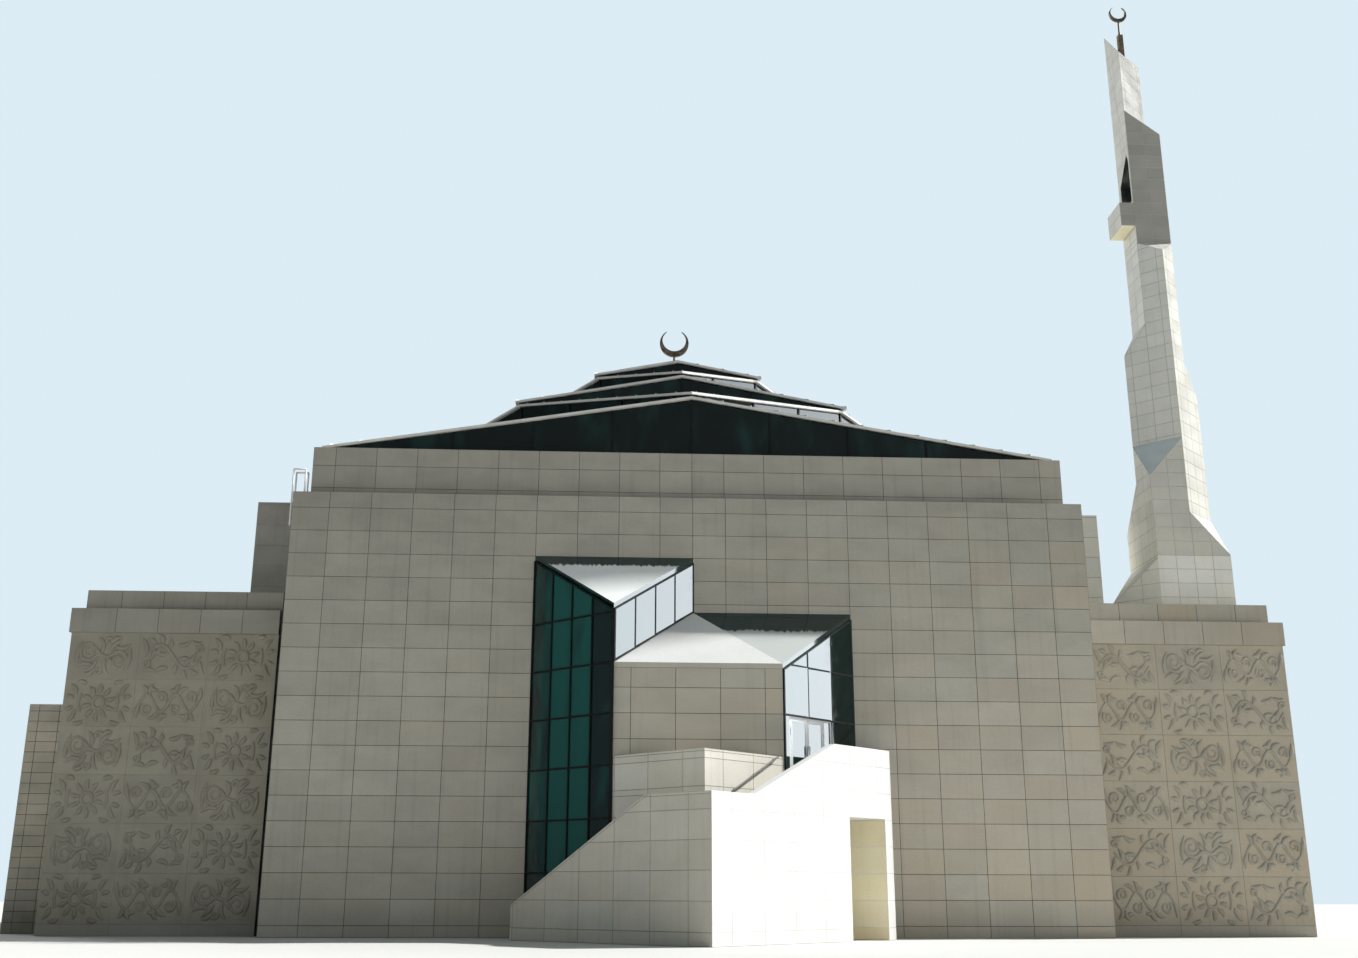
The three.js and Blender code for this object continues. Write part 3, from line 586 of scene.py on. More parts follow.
# Where the joints run, and the faces that take another finish than stone
wing = {
    "inner": 11.975, "outer": 17.88, "column": 1.968, "row": 1.339, "rows": 6, "joint": 13.04,
    "band": 9.048, "middle": 4,
}
slotPlace = {"edge": 11.99, "back": 9.5, "steep": 0.5}    # a dark recess parts each wing from the hall
stair = {"front": -18.468, "court": -16.188, "first": 0.717, "joints": 8}
annexGrid = {"left": -19.44, "front": -7.7, "width": 0.6, "course": 0.303, "courses": 22}
tower = {
    "middle": Vector((15.98, -8.028, 0)), "joint": 0.59,
    "zinc": (13.9, 15.4), "zincTilt": 0.12, "zincSide": -0.2,
    "niche": (24.1, 26.0), "nicheY": -8.068, "nicheHalf": 0.44, "nicheSide": 0.5, "soffit": -0.7,
}
carvedEdges = [*steps(wing["inner"], wing["column"], 3), wing["outer"]]
carvedColumns = bothWays(carvedEdges[1:3])
carvedRows = steps(panels["foot"], wing["row"], wing["rows"] + 1)
hallJoints = bothWays([0, *steps(panels["first"], panels["width"], 9)])
atticLevels = steps(panels["attic"], panels["course"], 2)
annexCourses = steps(panels["foot"], annexGrid["course"], annexGrid["courses"])
bandJoints = bothWays(steps(wing["joint"], panels["width"], 4))
sideJoints = bothWays(steps(panels["width"] / 2, panels["width"], 9))
porchJoints = bothWays(steps(panels["width"] / 2, panels["width"], 2))
hallCentre = Vector((0, 0, 6))


def cornerJoints(corner):
    right = [run + corner * diagonal for run in steps(stair["first"], panels["width"], stair["joints"])]
    return right, [-offset for offset in right]


def towerJoints(along):
    middle = round(tower["middle"].dot(along), 3)
    return [middle - tower["joint"], middle, middle + tower["joint"]]


def inSlot(face):
    spot = face.calc_center_median()
    upright = abs(face.normal.z) < slotPlace["steep"]
    return upright and abs(spot.x) < slotPlace["edge"] and abs(spot.y) > slotPlace["back"]


def isZincFacet(face):
    foot, head = tower["zinc"]
    inBelt = foot < face.calc_center_median().z < head and face.normal.z > tower["zincTilt"]
    return inBelt and max(face.normal.x, face.normal.y) < tower["zincSide"]


def inNiche(face):
    spot = face.calc_center_median()
    foot, head = tower["niche"]
    inside = abs(spot.y - tower["nicheY"]) < tower["nicheHalf"] and foot < spot.z < head
    return inside and abs(face.normal.x) < tower["nicheSide"]


def isSoffit(face):
    return face.normal.z < tower["soffit"]


def wallRules(joints, levels=courses):
    return [rule(alongX, joints, levels), rule(alongY, joints, levels)]


panelSkin("front_wall", ["facadeStone"], wallRules(hallJoints), 3, hallCentre)
panelSkin("rear_walls", ["facadeStone"], wallRules(hallJoints), 4, hallCentre)
panelSkin("attic_wall", ["facadeStone"], wallRules(hallJoints, atticLevels), 5, hallCentre)
for side, name in ((-1, "left"), (1, "right")):
    middle = Vector((side * (wing["outer"] - frontY) / 2, 0, wing["middle"]))
    wingRules = [
        rule(alongX, carvedColumns, carvedRows, towardFront, 1, 2),
        rule(alongX, bandJoints), rule(alongY, sideJoints),
    ]
    panelSkin(
        f"wing_{name}_walls", ["facadeStone", "carvedStone", "plinthStone"], wingRules,
        6 + side, middle, "paleFiller", (inSlot, "recessShade"),
    )
    bandRules = [rule(alongX, bandJoints, [wing["band"]]), rule(alongY, sideJoints, [wing["band"]])]
    panelSkin(f"wing_{name}_band", ["bandStone"], bandRules, 9 + side, middle, odd=(inSlot, "recessShade"))
    # The left block takes a darker stone as painted shade, the right one the lighter tower stone as painted
    # light
    blockFinish = "blockStone" if side < 0 else "paleTowerStone"
    panelSkin(f"block_{name}", [blockFinish], wallRules(hallJoints), 12 + side, filler="paleFiller")
annexRules = [
    rule(alongX, steps(annexGrid["left"], annexGrid["width"], 3), annexCourses),
    rule(alongY, steps(annexGrid["front"], annexGrid["width"], 12), annexCourses),
]
panelSkin("annex", ["annexStone"], annexRules, 15)
panelSkin("porch_wall", ["facadeStone"], [rule(alongX, porchJoints, facing=towardFront)], 16)
stairRight, stairLeft = cornerJoints(stair["front"])
courtRight, courtLeft = cornerJoints(stair["court"])
leftRules = [rule(alongLeft, stairLeft)]
panelSkin("stair_wall_left", ["stairShadeStone"], leftRules, 17, filler="paleFiller", coping=True)
# The passage jambs take a pale warm stone as painted bounce light
panelSkin(
    "stair_wall_right", ["stairSunStone", "revealStone"],
    [rule(alongRight, stairRight), rule(alongLeft, [], facing=towardLeft, finish=1), rule(alongY, [])],
    18, filler="stairSunStone",
)
courtRules = [rule(alongLeft, courtLeft), rule(alongRight, courtRight)]
panelSkin("court_wall", ["stairStone"], courtRules, 19, filler="paleFiller", coping=True)
panelSkin("undercroft_wall", ["stairStone"], courtRules[1:], 20)
# Faces toward the left and front-left take a lighter copy of the stone as painted light, faces toward the
# right a slightly darker sun-side copy; the base front is painted light and the head and balcony fronts
# painted shade
minaretRules = [
    rule(alongX, towerJoints(alongX), towerCourses),
    rule(alongY, towerJoints(alongY), towerCourses, -alongX, 1),
    rule(alongY, towerJoints(alongY), towerCourses, finish=2),
    rule(alongRight, towerJoints(alongRight), towerCourses),
    rule(alongLeft, towerJoints(alongLeft), towerCourses, finish=1),
]
# The balcony's soffits take the same pale warm stone as painted bounce light
minaretParts = {
    "base": ("paleTowerStone", isZincFacet, "greyZinc"),
    "shaft": ("towerStone", isZincFacet, "greyZinc"),
    "head": ("towerHeadStone", inNiche, "recessShade"),
    "balcony": ("towerHeadStone", isSoffit, "revealStone"),
}
for number, (part, (frontStone, isOdd, oddFinish)) in enumerate(minaretParts.items()):
    panelSkin(
        f"minaret_{part}", [frontStone, "paleTowerStone", "sunnyTowerStone"], minaretRules,
        21 + number, filler="towerFiller", odd=(isOdd, oddFinish), spareLevels=towerCourses,
    )
print("stone panels cut")


# Bars in Geometry Nodes: each point carries the turn and the size of one bar

def named(tree, label, kind):
    made = addNode(tree, "GeometryNodeInputNamedAttribute", data_type=kind)
    made.inputs["Name"].default_value = label
    return made.outputs["Attribute"]


def startGeometry(name, inputs):
    inputs = {"Geometry": ("Geometry", None), "Material": ("Material", None), **inputs}
    return startGroup(name, "GeometryNodeTree", inputs, ("Geometry",))


def closeGeometry(tree, entry, leave, *middle):
    real = addNode(tree, "GeometryNodeRealizeInstances")
    finish = addNode(tree, "GeometryNodeSetMaterial")
    chain = (entry, *middle, real, finish, leave)
    linkAll(tree, ((before.outputs[0], after.inputs[0]) for before, after in zip(chain, chain[1:])))
    tree.links.new(entry.outputs["Material"], finish.inputs["Material"])
    layOut(tree)
    return tree


def makeBarTree():
    tree, entry, leave = startGeometry("barsOnPoints", {})
    cube = addNode(tree, "GeometryNodeMeshCube")
    place = addNode(tree, "GeometryNodeInstanceOnPoints")
    linkAll(tree, (
        (cube.outputs["Mesh"], place.inputs["Instance"]),
        (named(tree, "turn", "FLOAT_VECTOR"), place.inputs["Rotation"]),
        (named(tree, "size", "FLOAT_VECTOR"), place.inputs["Scale"]),
    ))
    return closeGeometry(tree, entry, leave, place)


def grow(name, mesh, tree, values):
    seedObject = addObject(name + "_seed", mesh)
    modifier = seedObject.modifiers.new("grow", "NODES")
    modifier.node_group = tree
    for socket in tree.interface.items_tree:
        if socket.name in values:
            modifier[socket.identifier] = values[socket.name]
    bpy.context.view_layer.update()
    depsgraph = bpy.context.evaluated_depsgraph_get()
    grown = bpy.data.meshes.new_from_object(seedObject.evaluated_get(depsgraph))
    grown.name = name
    seedObject.modifiers.remove(modifier)
    bpy.data.objects.remove(seedObject)
    bpy.data.meshes.remove(mesh)
    linkPiece(name, grown)


barTree = makeBarTree()


def bars(name, finish, items):
    mesh = bpy.data.meshes.new(name + "_points")
    mesh.from_pydata([place for place, turn, size in items], [], [])
    for label, index in (("turn", 1), ("size", 2)):
        layer = mesh.attributes.new(label, "FLOAT_VECTOR", "POINT")
        layer.data.foreach_set("vector", [n for item in items for n in item[index]])
    grow(name, mesh, barTree, {"Material": finishes[finish]})


def bar(centre, turn, size):
    return tuple(centre), (0, 0, turn), size


def strip(start, end, width, depth):
    run = Vector(end) - Vector(start)
    pitch = -math.asin(run.z / run.length)
    turn = (0, pitch, math.atan2(run.y, run.x))
    return (tuple((Vector(start) + Vector(end)) / 2), turn, (run.length, width, depth))


# Roof: five rings of glass gables under folded metal plates

# Each tier is the one below turned by 45 degrees; the gables carry mullions and a foot rail
roof = {
    "tiers": 5, "half": 10.92, "overhang": 0.12, "paneWidth": 2.4, "spare": 0.1, "mullion": 0.07,
    "proud": 0.03, "sunk": 0.02, "rail": 0.06, "railEnds": 0.5, "seamPitch": 0.6, "seam": 0.03,
    "seamWidth": 0.02, "shortest": 0.25, "steep": 0.6, "level": 1e-3,
}


def tierHalves():
    halves = [roof["half"]]
    while len(halves) < roof["tiers"]:
        halves.append((halves[-1] + roof["overhang"]) * diagonal)
    return halves


def gableBars():
    made = []
    deep = roof["proud"] + roof["sunk"]
    for tier, half in enumerate(tierHalves()):
        low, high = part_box(f"roof_glass_{tier + 1}")
        foot, peak = low[2], high[2]
        count = int(half / roof["paneWidth"] - roof["spare"])
        for side in range(4):
            turn = side * math.pi / 2 + (math.pi / 4 if tier % 2 else 0)
            across = Vector((math.cos(turn), math.sin(turn), 0))
            face = Vector((math.sin(turn), -math.cos(turn), 0)) * (half + roof["proud"] / 2)
            for k in range(-count, count + 1):
                s = k * roof["paneWidth"]
                tall = (peak - foot) * (1 - abs(s) / half)
                centre = face + across * s + upward * (foot + tall / 2)
                made.append(bar(centre, turn, (roof["mullion"], deep, tall - roof["sunk"])))
            centre = face + upward * (foot + roof["rail"] / 2)
            made.append(bar(centre, turn, (2 * half - roof["railEnds"], deep, roof["rail"])))
    return made


def seamsOf(face):
    flat = flatNormal(face)
    if flat.length < roof["level"]:
        return []
    across = Vector((-flat.y, flat.x, 0)).normalized()
    lift = face.normal * roof["seam"] / 2
    corners = [v.co.copy() for v in face.verts]
    reach = [across.dot(corner) for corner in corners]
    first = math.ceil(min(reach) / roof["seamPitch"]) * roof["seamPitch"]
    seams = []
    for offset in steps(first, roof["seamPitch"], int((max(reach) - first) / roof["seamPitch"]) + 1):
        hits = []
        for a, b in zip(corners, corners[1:] + corners[:1]):
            fromA, fromB = across.dot(a) - offset, across.dot(b) - offset
            if (fromA > 0) != (fromB > 0):
                hits.append(a.lerp(b, fromA / (fromA - fromB)))
        if len(hits) == 2 and (hits[0] - hits[1]).length > roof["shortest"]:
            seams.append(strip(hits[0] + lift, hits[1] + lift, roof["seamWidth"], roof["seam"]))
    return seams


def plateSkin(nodeName):
    bm = nodeCopy(nodeName)
    bmesh.ops.triangulate(bm, faces=[f for f in bm.faces if abs(f.normal.z) > roof["steep"]])
    joinFlat(bm)
    markTops(bm)
    seams = [seam for face in bm.faces if face.material_index == 0 for seam in seamsOf(face)]
    finishPiece(bm, nodeName + "_sheets", ("roofSheet", "paleTrim"), [nodeName])
    return seams


seamItems = []
for tier in range(roof["tiers"]):
    paint("roofGlass", f"roof_glass_{tier + 1}")
    seamItems += plateSkin(f"roof_plates_{tier + 1}")
seamItems += plateSkin("roof_cap")
bars("roof_seams", "roofSheet", seamItems)
bars("gable_mullions", "darkFrame", gableBars())
print("roof made:", len(seamItems), "seams")


# Entrance bays: glass walls with slim dark bars, and the door of two leaves

# Distances along a wall run from its left end as seen from outside. A roof falls from the front
# wall to the prism's tip, and the panes that face right are each turned a little.
bay = {
    "leftHead": 10.506, "rightHead": 8.9, "fall": 1.8, "roof": 0.14, "clear": 0.03, "bar": 0.045,
    "proud": 0.045, "off": 0.001, "cross": 0.041, "edge": 0.043, "probes": 60, "nose": 0.09,
    "noseOut": 0.02, "noseShort": 0.3, "levels": steps(8.466, -panels["course"] * 2, 7), "floor": 3.62,
    "door": 2.16, "pane": 0.006, "paneOut": 0.010, "paneGap": 0.008, "paneTurn": 0.034,
    "narrowest": 0.2, "sink": 0.1, "toneSpread": 0.15, "shadeTone": -0.6,
}
bayRun = bayHalf * math.sqrt(2)


def clipped(outline, inside):
    kept = []
    for a, b in zip(outline, outline[1:] + outline[:1]):
        fromA, fromB = inside(*a), inside(*b)
        if fromA >= 0:
            kept.append(a)
        if (fromA > 0) != (fromB > 0):
            t = fromA / (fromA - fromB)
            kept.append((a[0] + t * (b[0] - a[0]), a[1] + t * (b[1] - a[1])))
    return kept


def addPane(bm, tone, wall, outline, value):
    first = min(s for s, z in outline)
    rings = []
    for depth in (0, -bay["pane"]):
        ring = []
        for s, z in outline:
            out = bay["paneOut"] + wall["turn"] * (s - first) + depth
            spot = wall["start"] + wall["along"] * s + wall["out"] * out + upward * z
            ring.append(bm.verts.new(spot))
        rings.append(ring)
    front, back = rings
    made = [bm.faces.new(front), bm.faces.new(back[::-1])]
    for k in range(len(outline)):
        after = (k + 1) % len(outline)
        made.append(bm.faces.new((front[k], back[k], back[after], front[after])))
    for face in made:
        face[tone] = value


def bayPanes(name, finish, wall, seed):
    rng = random.Random(seed)
    bm = bmesh.new()
    tone = bm.faces.layers.float.new("tone")
    gap = bay["paneGap"]
    doorEnd, doorHead = wall["doorway"]
    edges = [bayRun * k / len(wall["paintedReflectionTones"]) for k in range(len(wall["paintedReflectionTones"]) + 1)]
    levels = [wall["low"], *sorted(z for z in wall["levels"] if z > wall["low"]), bay["leftHead"]]
    for value, near, far in zip(wall["paintedReflectionTones"], edges, edges[1:]):
        for low, high in zip(levels, levels[1:]):
            left, right = near + gap, far - gap
            if low < doorHead - bay["sink"]:
                left = max(left, doorEnd)
            if right - left < bay["narrowest"]:
                continue
            outline = [(left, low + gap), (right, low + gap), (right, high - gap), (left, high - gap)]
            outline = clipped(outline, lambda s, z: wall["top"](s) - z)
            if outline:
                outline = clipped(outline, lambda s, z: z - wall["foot"](s))
            if len(outline) > 2:
                shift = rng.uniform(-bay["toneSpread"], bay["toneSpread"])
                addPane(bm, tone, wall, outline, value + shift)
    bmesh.ops.recalc_face_normals(bm, faces=bm.faces)
    for face in bm.faces:
        # Panes toned below shadeTone take shadeGlass, a darker painted reflection
        face.material_index = int(face[tone] < bay["shadeTone"])
    finishPiece(bm, name, (finish, "shadeGlass"))


def bayWall(wall):
    foot, top = wall["foot"], wall["top"]
    doorEnd, doorHead = wall["doorway"]
    panes = len(wall["paintedReflectionTones"])
    out = bay["proud"] / 2 + bay["off"]

    def place(s, z):
        return wall["start"] + wall["along"] * s + wall["out"] * out + upward * z

    made = []
    for k in range(panes + 1):
        s = min(max(bayRun * k / panes, bay["bar"] / 2), bayRun - bay["bar"] / 2)
        low = doorHead if bay["bar"] < s < doorEnd else foot(s)
        size = (bay["bar"], bay["proud"], top(s) - low)
        made.append(bar(place(s, (low + top(s)) / 2), wall["angle"], size))
    probes = steps(0, bayRun / bay["probes"], bay["probes"] + 1)
    for z in wall["levels"]:
        inside = [s for s in probes if foot(s) < z < top(s)]
        if len(inside) > 2:
            size = (inside[-1] - inside[0], bay["cross"], bay["bar"])
            made.append(bar(place((inside[0] + inside[-1]) / 2, z), wall["angle"], size))
    for edge, first in ((foot, doorEnd), (top, 0)):
        ends = (place(first, edge(first)), place(bayRun, edge(bayRun)))
        made.append(strip(*ends, bay["edge"], bay["bar"]))
    return made


def bayWalls():
    slope = bay["fall"] / bayHalf * diagonal
    clear = bay["clear"]
    leftTop = bay["leftHead"] - bay["roof"] - clear
    rightTop = bay["rightHead"] - bay["roof"] - clear
    common = {
        "levels": bay["levels"], "low": 0.0, "doorway": (0, 0), "turn": bay["paneTurn"],
        "along": alongRight, "out": towardRight, "angle": math.pi / 4,
    }
    # Column tones shift each pane between its glass's two shades as painted reflection; the right wall's
    # third column takes shadeGlass as a darker painted reflection
    left = {
        **common, "start": Vector((-2 * bayHalf, frontY, 0)), "along": alongLeft, "out": towardLeft,
        "angle": -math.pi / 4, "paintedReflectionTones": (0.1, 0.9, 1.0, -0.2), "turn": 0.0,
        "foot": lambda s: clear, "top": lambda s: leftTop - slope * s,
    }
    inner = {
        **common, "start": Vector((-bayHalf, frontY - bayHalf, 0)), "paintedReflectionTones": (0, 0, 0, 0), "levels": [],
        "foot": lambda s: bay["rightHead"] - slope * (bayRun - s) + clear,
        "top": lambda s: leftTop - slope * (bayRun - s),
    }
    right = {
        **common, "start": Vector((bayHalf, frontY - bayHalf, 0)), "paintedReflectionTones": (0, 0, -0.9),
        "levels": bay["levels"][1:3], "low": bay["floor"], "doorway": (bay["door"], bay["levels"][2]),
        "foot": lambda s: bay["floor"] + clear, "top": lambda s: rightTop - slope * (bayRun - s),
    }
    return left, inner, right


def bayBars(walls):
    tall = bay["leftHead"] - bay["fall"]
    nose = (-bayHalf - bay["noseOut"], frontY - bayHalf - bay["noseOut"], tall / 2)
    made = [item for wall in walls for item in bayWall(wall)]
    return [*made, bar(nose, 0, (bay["nose"], bay["nose"], tall - bay["noseShort"]))]


def topSkin(nodeName, names):
    bm = nodeCopy(nodeName)
    markTops(bm)
    finishPiece(bm, nodeName + "_faces", names, [nodeName])


paint("darkGlass", "bay_glass_left", "bay_glass_inner", "bay_glass_right")
# Both bay roofs carry a painted shadow strip along the wall
topSkin("bay_roof_left", ("dustyGlassLeft", "darkGlass"))
topSkin("bay_roof_right", ("dustyGlassRight", "darkGlass"))
topSkin("porch_roof", ("porchStone", "facadeStone"))
leftWall, innerWall, rightWall = bayWalls()
bars("bay_bars", "darkFrame", bayBars((leftWall, innerWall, rightWall)))

# The leaves in the doorway's own frame: x along the wall, -y outward, hinges at the outer edges
door = {
    "start": 0.3, "leaf": 0.725, "clear": 0.006, "depth": 0.045, "foot": 3.6263, "head": 5.68,
    "stile": 0.075, "rail": 0.09, "kick": 0.2, "recess": 0.002, "pane": 0.012, "rebate": 0.005,
    "pull": 0.014, "pullOut": 0.05, "pullEnds": (0.75, 1.35), "arm": 0.008, "arms": (0.85, 1.25),
    "hinges": (3.9203, 5.3103), "hinge": 0.06, "pin": 0.007, "pinOut": 0.01, "plate": 0.03,
    "plateOut": 0.004, "plateIn": 0.001,
}
sidelight = {"start": 0.055, "end": 0.335, "front": 0.03, "back": 0.042, "foot": 3.68, "head": 5.69}
toDoorway = Matrix.Translation((bayHalf, frontY - bayHalf, 0)) @ Matrix.Rotation(math.pi / 4, 4, "Z")


def finishFaces(made, finish):
    faces = {f for v in made["verts"] for f in v.link_faces}
    for face in faces:
        face.material_index = finish
    return faces


def addBox(bm, low, high, finish=0, turn=0.0):
    centre = (Vector(low) + Vector(high)) / 2
    size = Vector(high) - Vector(low)
    matrix = Matrix.Translation(centre) @ Matrix.Rotation(turn, 4, "Z") @ Matrix.Diagonal((*size, 1))
    finishFaces(bmesh.ops.create_cube(bm, size=1, matrix=matrix), finish)


def addRod(bm, start, end, radius, finish=0, sides=12):
    run = Vector(end) - Vector(start)
    turn = run.to_track_quat("Z", "Y").to_matrix().to_4x4()
    made = bmesh.ops.create_cone(
        bm, segments=sides, radius1=radius, radius2=radius, depth=run.length, cap_ends=True,
        matrix=Matrix.Translation((Vector(start) + Vector(end)) / 2) @ turn,
    )
    for face in finishFaces(made, finish):
        face.smooth = len(face.verts) == 4


def doorLeaf(side):
    bm = bmesh.new()
    isLeft = side == "left"
    start = door["start"] + door["clear"] + (0 if isLeft else door["leaf"])
    end = start + door["leaf"] - 2 * door["clear"]
    inner, outer = start + door["stile"], end - door["stile"]
    low, high, deep = door["foot"], door["head"], door["depth"]
    sill, head = low + door["kick"], high - door["rail"]
    addBox(bm, (start, 0, low), (inner, deep, high))
    addBox(bm, (outer, 0, low), (end, deep, high))
    for foot, top in ((head, high), (low, sill)):
        addBox(bm, (inner, door["recess"], foot), (outer, deep - door["recess"], top))
    middle, rebate = deep / 2, door["rebate"]
    addBox(
        bm, (inner - rebate, middle - door["pane"] / 2, sill - rebate),
        (outer + rebate, middle + door["pane"] / 2, head + rebate), 1, -bay["paneTurn"],
    )
    meeting = end - door["stile"] / 2 if isLeft else start + door["stile"] / 2
    for out in (-door["pullOut"], deep + door["pullOut"]):
        foot, top = (low + rise for rise in door["pullEnds"])
        addRod(bm, (meeting, out, foot), (meeting, out, top), door["pull"], 2)
        for z in door["arms"]:
            addRod(bm, (meeting, out, low + z), (meeting, middle, low + z), door["arm"], 2, 8)
    edge = start - door["clear"] / 2 if isLeft else end + door["clear"] / 2
    near, far = sorted((edge, edge + (door["plate"] if isLeft else -door["plate"])))
    for foot in door["hinges"]:
        top = foot + door["hinge"]
        addRod(bm, (edge, -door["pinOut"], foot), (edge, -door["pinOut"], top), door["pin"], 2, 16)
        addBox(bm, (near, -door["plateOut"], foot), (far, door["plateIn"], top), 2)
    bmesh.ops.transform(bm, matrix=toDoorway, verts=bm.verts)
    leaf = f"door_leaf_{side}"
    names = ("whiteFrame", "darkGlass", "railMetal")
    finishPiece(bm, leaf + "_glazed", names, [leaf], f"{side}_leaf")


def makeSidelight():
    bm = bmesh.new()
    leaves = door["start"] + 2 * door["leaf"]
    low = (leaves + sidelight["start"], sidelight["front"], sidelight["foot"])
    high = (leaves + sidelight["end"], sidelight["back"], sidelight["head"])
    addBox(bm, low, high, turn=-bay["paneTurn"])
    bmesh.ops.transform(bm, matrix=toDoorway, verts=bm.verts)
    finishPiece(bm, "sidelight_pane", ("darkGlass",))


bayPanes("bay_panes_left", "tealGlass", leftWall, 41)
bayPanes("bay_panes_inner", "darkGlass", innerWall, 42)
bayPanes("bay_panes_right", "darkGlass", rightWall, 43)
for side in ("left", "right"):
    doorLeaf(side)
paint("whiteFrame", "door_frame")
makeSidelight()
print("entrance made")


# Wing fronts: a generic scroll and leaf ornament on the stone, each cell turned half way onto itself

# Strokes are pressed flat onto the wing's face; spirals grow thin inward, leaves swell in the middle
carving = {
    "face": -10.428, "radius": 0.044, "flatness": 0.8, "sides": 8, "smooth": 4,
    "squeeze": (0.87, 0.91), "widths": (0.92, 1.10),
}
brush = {
    "spiralIn": 0.8, "spiralWidth": 1.15, "spiralThin": 0.6, "leafPoints": 6, "leafWidth": 0.35,
    "leafSwell": 1.2, "leafTip": 0.1,
}


def makeCarvingTree():
    tree, entry, leave = startGeometry("scrollRelief", {
        "Radius": 0.03, "Sides": ("Int", 8), "Press": ("Vector", None), "Place": ("Vector", None),
    })
    curve = addNode(tree, "GeometryNodeMeshToCurve")
    kind = addNode(tree, "GeometryNodeCurveSplineType", spline_type="CATMULL_ROM")
    even = addNode(tree, "GeometryNodeSetSplineResolution")
    even.inputs["Resolution"].default_value = carving["smooth"]
    profile = addNode(tree, "GeometryNodeCurvePrimitiveCircle")
    profile.inputs["Radius"].default_value = 1
    solid = addNode(tree, "GeometryNodeCurveToMesh")
    solid.inputs["Fill Caps"].default_value = True
    press = addNode(tree, "GeometryNodeTransform")
    taper = calc(tree, "MULTIPLY", named(tree, "width", "FLOAT"), entry.outputs["Radius"])
    linkAll(tree, (
        (taper, solid.inputs["Scale"]), (entry.outputs["Sides"], profile.inputs["Resolution"]),
        (profile.outputs["Curve"], solid.inputs["Profile Curve"]),
        (entry.outputs["Press"], press.inputs["Scale"]),
        (entry.outputs["Place"], press.inputs["Translation"]),
    ))
    return closeGeometry(tree, entry, leave, curve, kind, even, solid, press)


def spiral(x, z, size, start, turns, count=14):
    points = []
    for k in range(count):
        t = k / (count - 1)
        angle = start + t * turns * 2 * math.pi
        reach = size * (1 - brush["spiralIn"] * t)
        width = brush["spiralWidth"] - brush["spiralThin"] * t
        points.append((x + reach * math.cos(angle), z + reach * math.sin(angle), width))
    return points


def leafStroke(x, z, angle, length, bend):
    points = []
    for k in range(brush["leafPoints"]):
        t = k / (brush["leafPoints"] - 1)
        side = bend * math.sin(math.pi * t)
        swell = math.sin(math.pi * min(1, brush["leafTip"] + (1 - brush["leafTip"]) * t))
        points.append((
            x + length * t * math.cos(angle) - side * math.sin(angle),
            z + length * t * math.sin(angle) + side * math.cos(angle),
            brush["leafWidth"] + brush["leafSwell"] * swell,
        ))
    return points


def leaves(*rows):
    return [leafStroke(*row) for row in rows]


def leafPairs(*rows):
    return [leafStroke(x, w * z, w * a, long, w * bend) for x, z, a, long, bend in rows for w in (1, -1)]


def arc(radius, first, last, width, count=13):
    angles = [first + (last - first) * k / (count - 1) for k in range(count)]
    return [(radius * math.cos(a), radius * math.sin(a), width) for a in angles]


# The four cells as drawn: a leaf row holds its place, angle, length and bend

def scrollCell():
    stem = [(0.0, 0.0, 1.2), (0.09, 0.03, 1.25), (0.17, 0.03, 1.2)]
    return [
        stem + spiral(0.50, 0.15, 0.31, -2.6, 1.7),
        *leaves(
            (0.20, -0.12, -0.75, 0.50, -0.06), (0.34, -0.28, -0.15, 0.52, 0.10),
            (0.26, -0.36, -0.45, 0.34, -0.08), (0.06, 0.10, 1.25, 0.46, 0.09),
            (0.10, 0.06, 0.95, 0.30, -0.05),
        ),
        spiral(0.16, -0.42, 0.13, 2.6, 1.2, 9), *leaves((0.84, -0.22, 1.75, 0.70, -0.05)),
    ]


def vineCell():
    vine = [(0.92 * s, 0.24 * math.sin(2 * math.pi * s), 1.15 - 0.3 * s) for s in steps(0, 0.1, 11)]
    return [
        vine, spiral(0.24, -0.16, 0.17, 2.4, 1.3, 11), spiral(0.68, 0.17, 0.18, -0.8, 1.3, 11),
        *leaves(
            (0.20, 0.26, 1.15, 0.32, 0.05), (0.30, 0.24, 0.55, 0.38, 0.06),
            (0.62, -0.26, -1.9, 0.30, 0.05), (0.74, -0.24, -1.1, 0.30, -0.05),
            (0.36, -0.36, -0.5, 0.30, 0.06), (0.02, 0.36, 0.3, 0.26, -0.04),
            (0.92, 0.02, 1.4, 0.44, -0.04),
        ),
    ]


def rosetteCell():
    turns = steps(math.pi / 10, math.pi / 5, 5)
    petals = [(0.25 * math.cos(a), 0.25 * math.sin(a), a, 0.30, 0.04) for a in turns]
    return [
        *leaves(*petals), arc(0.17, 0, math.pi, 1.1), arc(0.62, -0.42, 0.42, 0.95, 9),
        *leafPairs(
            (0.72, 0.20, 1.0, 0.40, 0.06), (0.80, 0.10, 0.35, 0.26, 0.03), (0.44, 0.52, 0.15, 0.30, 0.05),
        ),
    ]


def branchCell():
    stem = [(0.86 * s, 0.34 * math.sin(math.pi * s), 1.2 - 0.4 * s) for s in steps(0, 0.1, 11)]
    twigs = []
    for s, angle, reach in ((0.16, 0.95, 0.36), (0.40, 0.35, 0.38), (0.66, -0.30, 0.36)):
        x, z = 0.86 * s, 0.34 * math.sin(math.pi * s)
        twigs += leaves(
            (x + 0.02, z + 0.06, angle + 0.75, 0.8 * reach, 0.05),
            (x + 0.04, z - 0.06, angle - 0.95, reach, -0.05),
        )
    return [
        *twigs, stem,
        *leaves(
            (0.14, -0.34, -0.35, 0.40, 0.07), (0.56, -0.44, 0.05, 0.34, 0.06),
            (0.84, 0.12, 1.15, 0.44, 0.05),
        ),
        spiral(0.84, -0.22, 0.12, 2.2, 1.2, 9),
    ]


cellKinds = (scrollCell, vineCell, rosetteCell, branchCell)
carvingTree = makeCarvingTree()


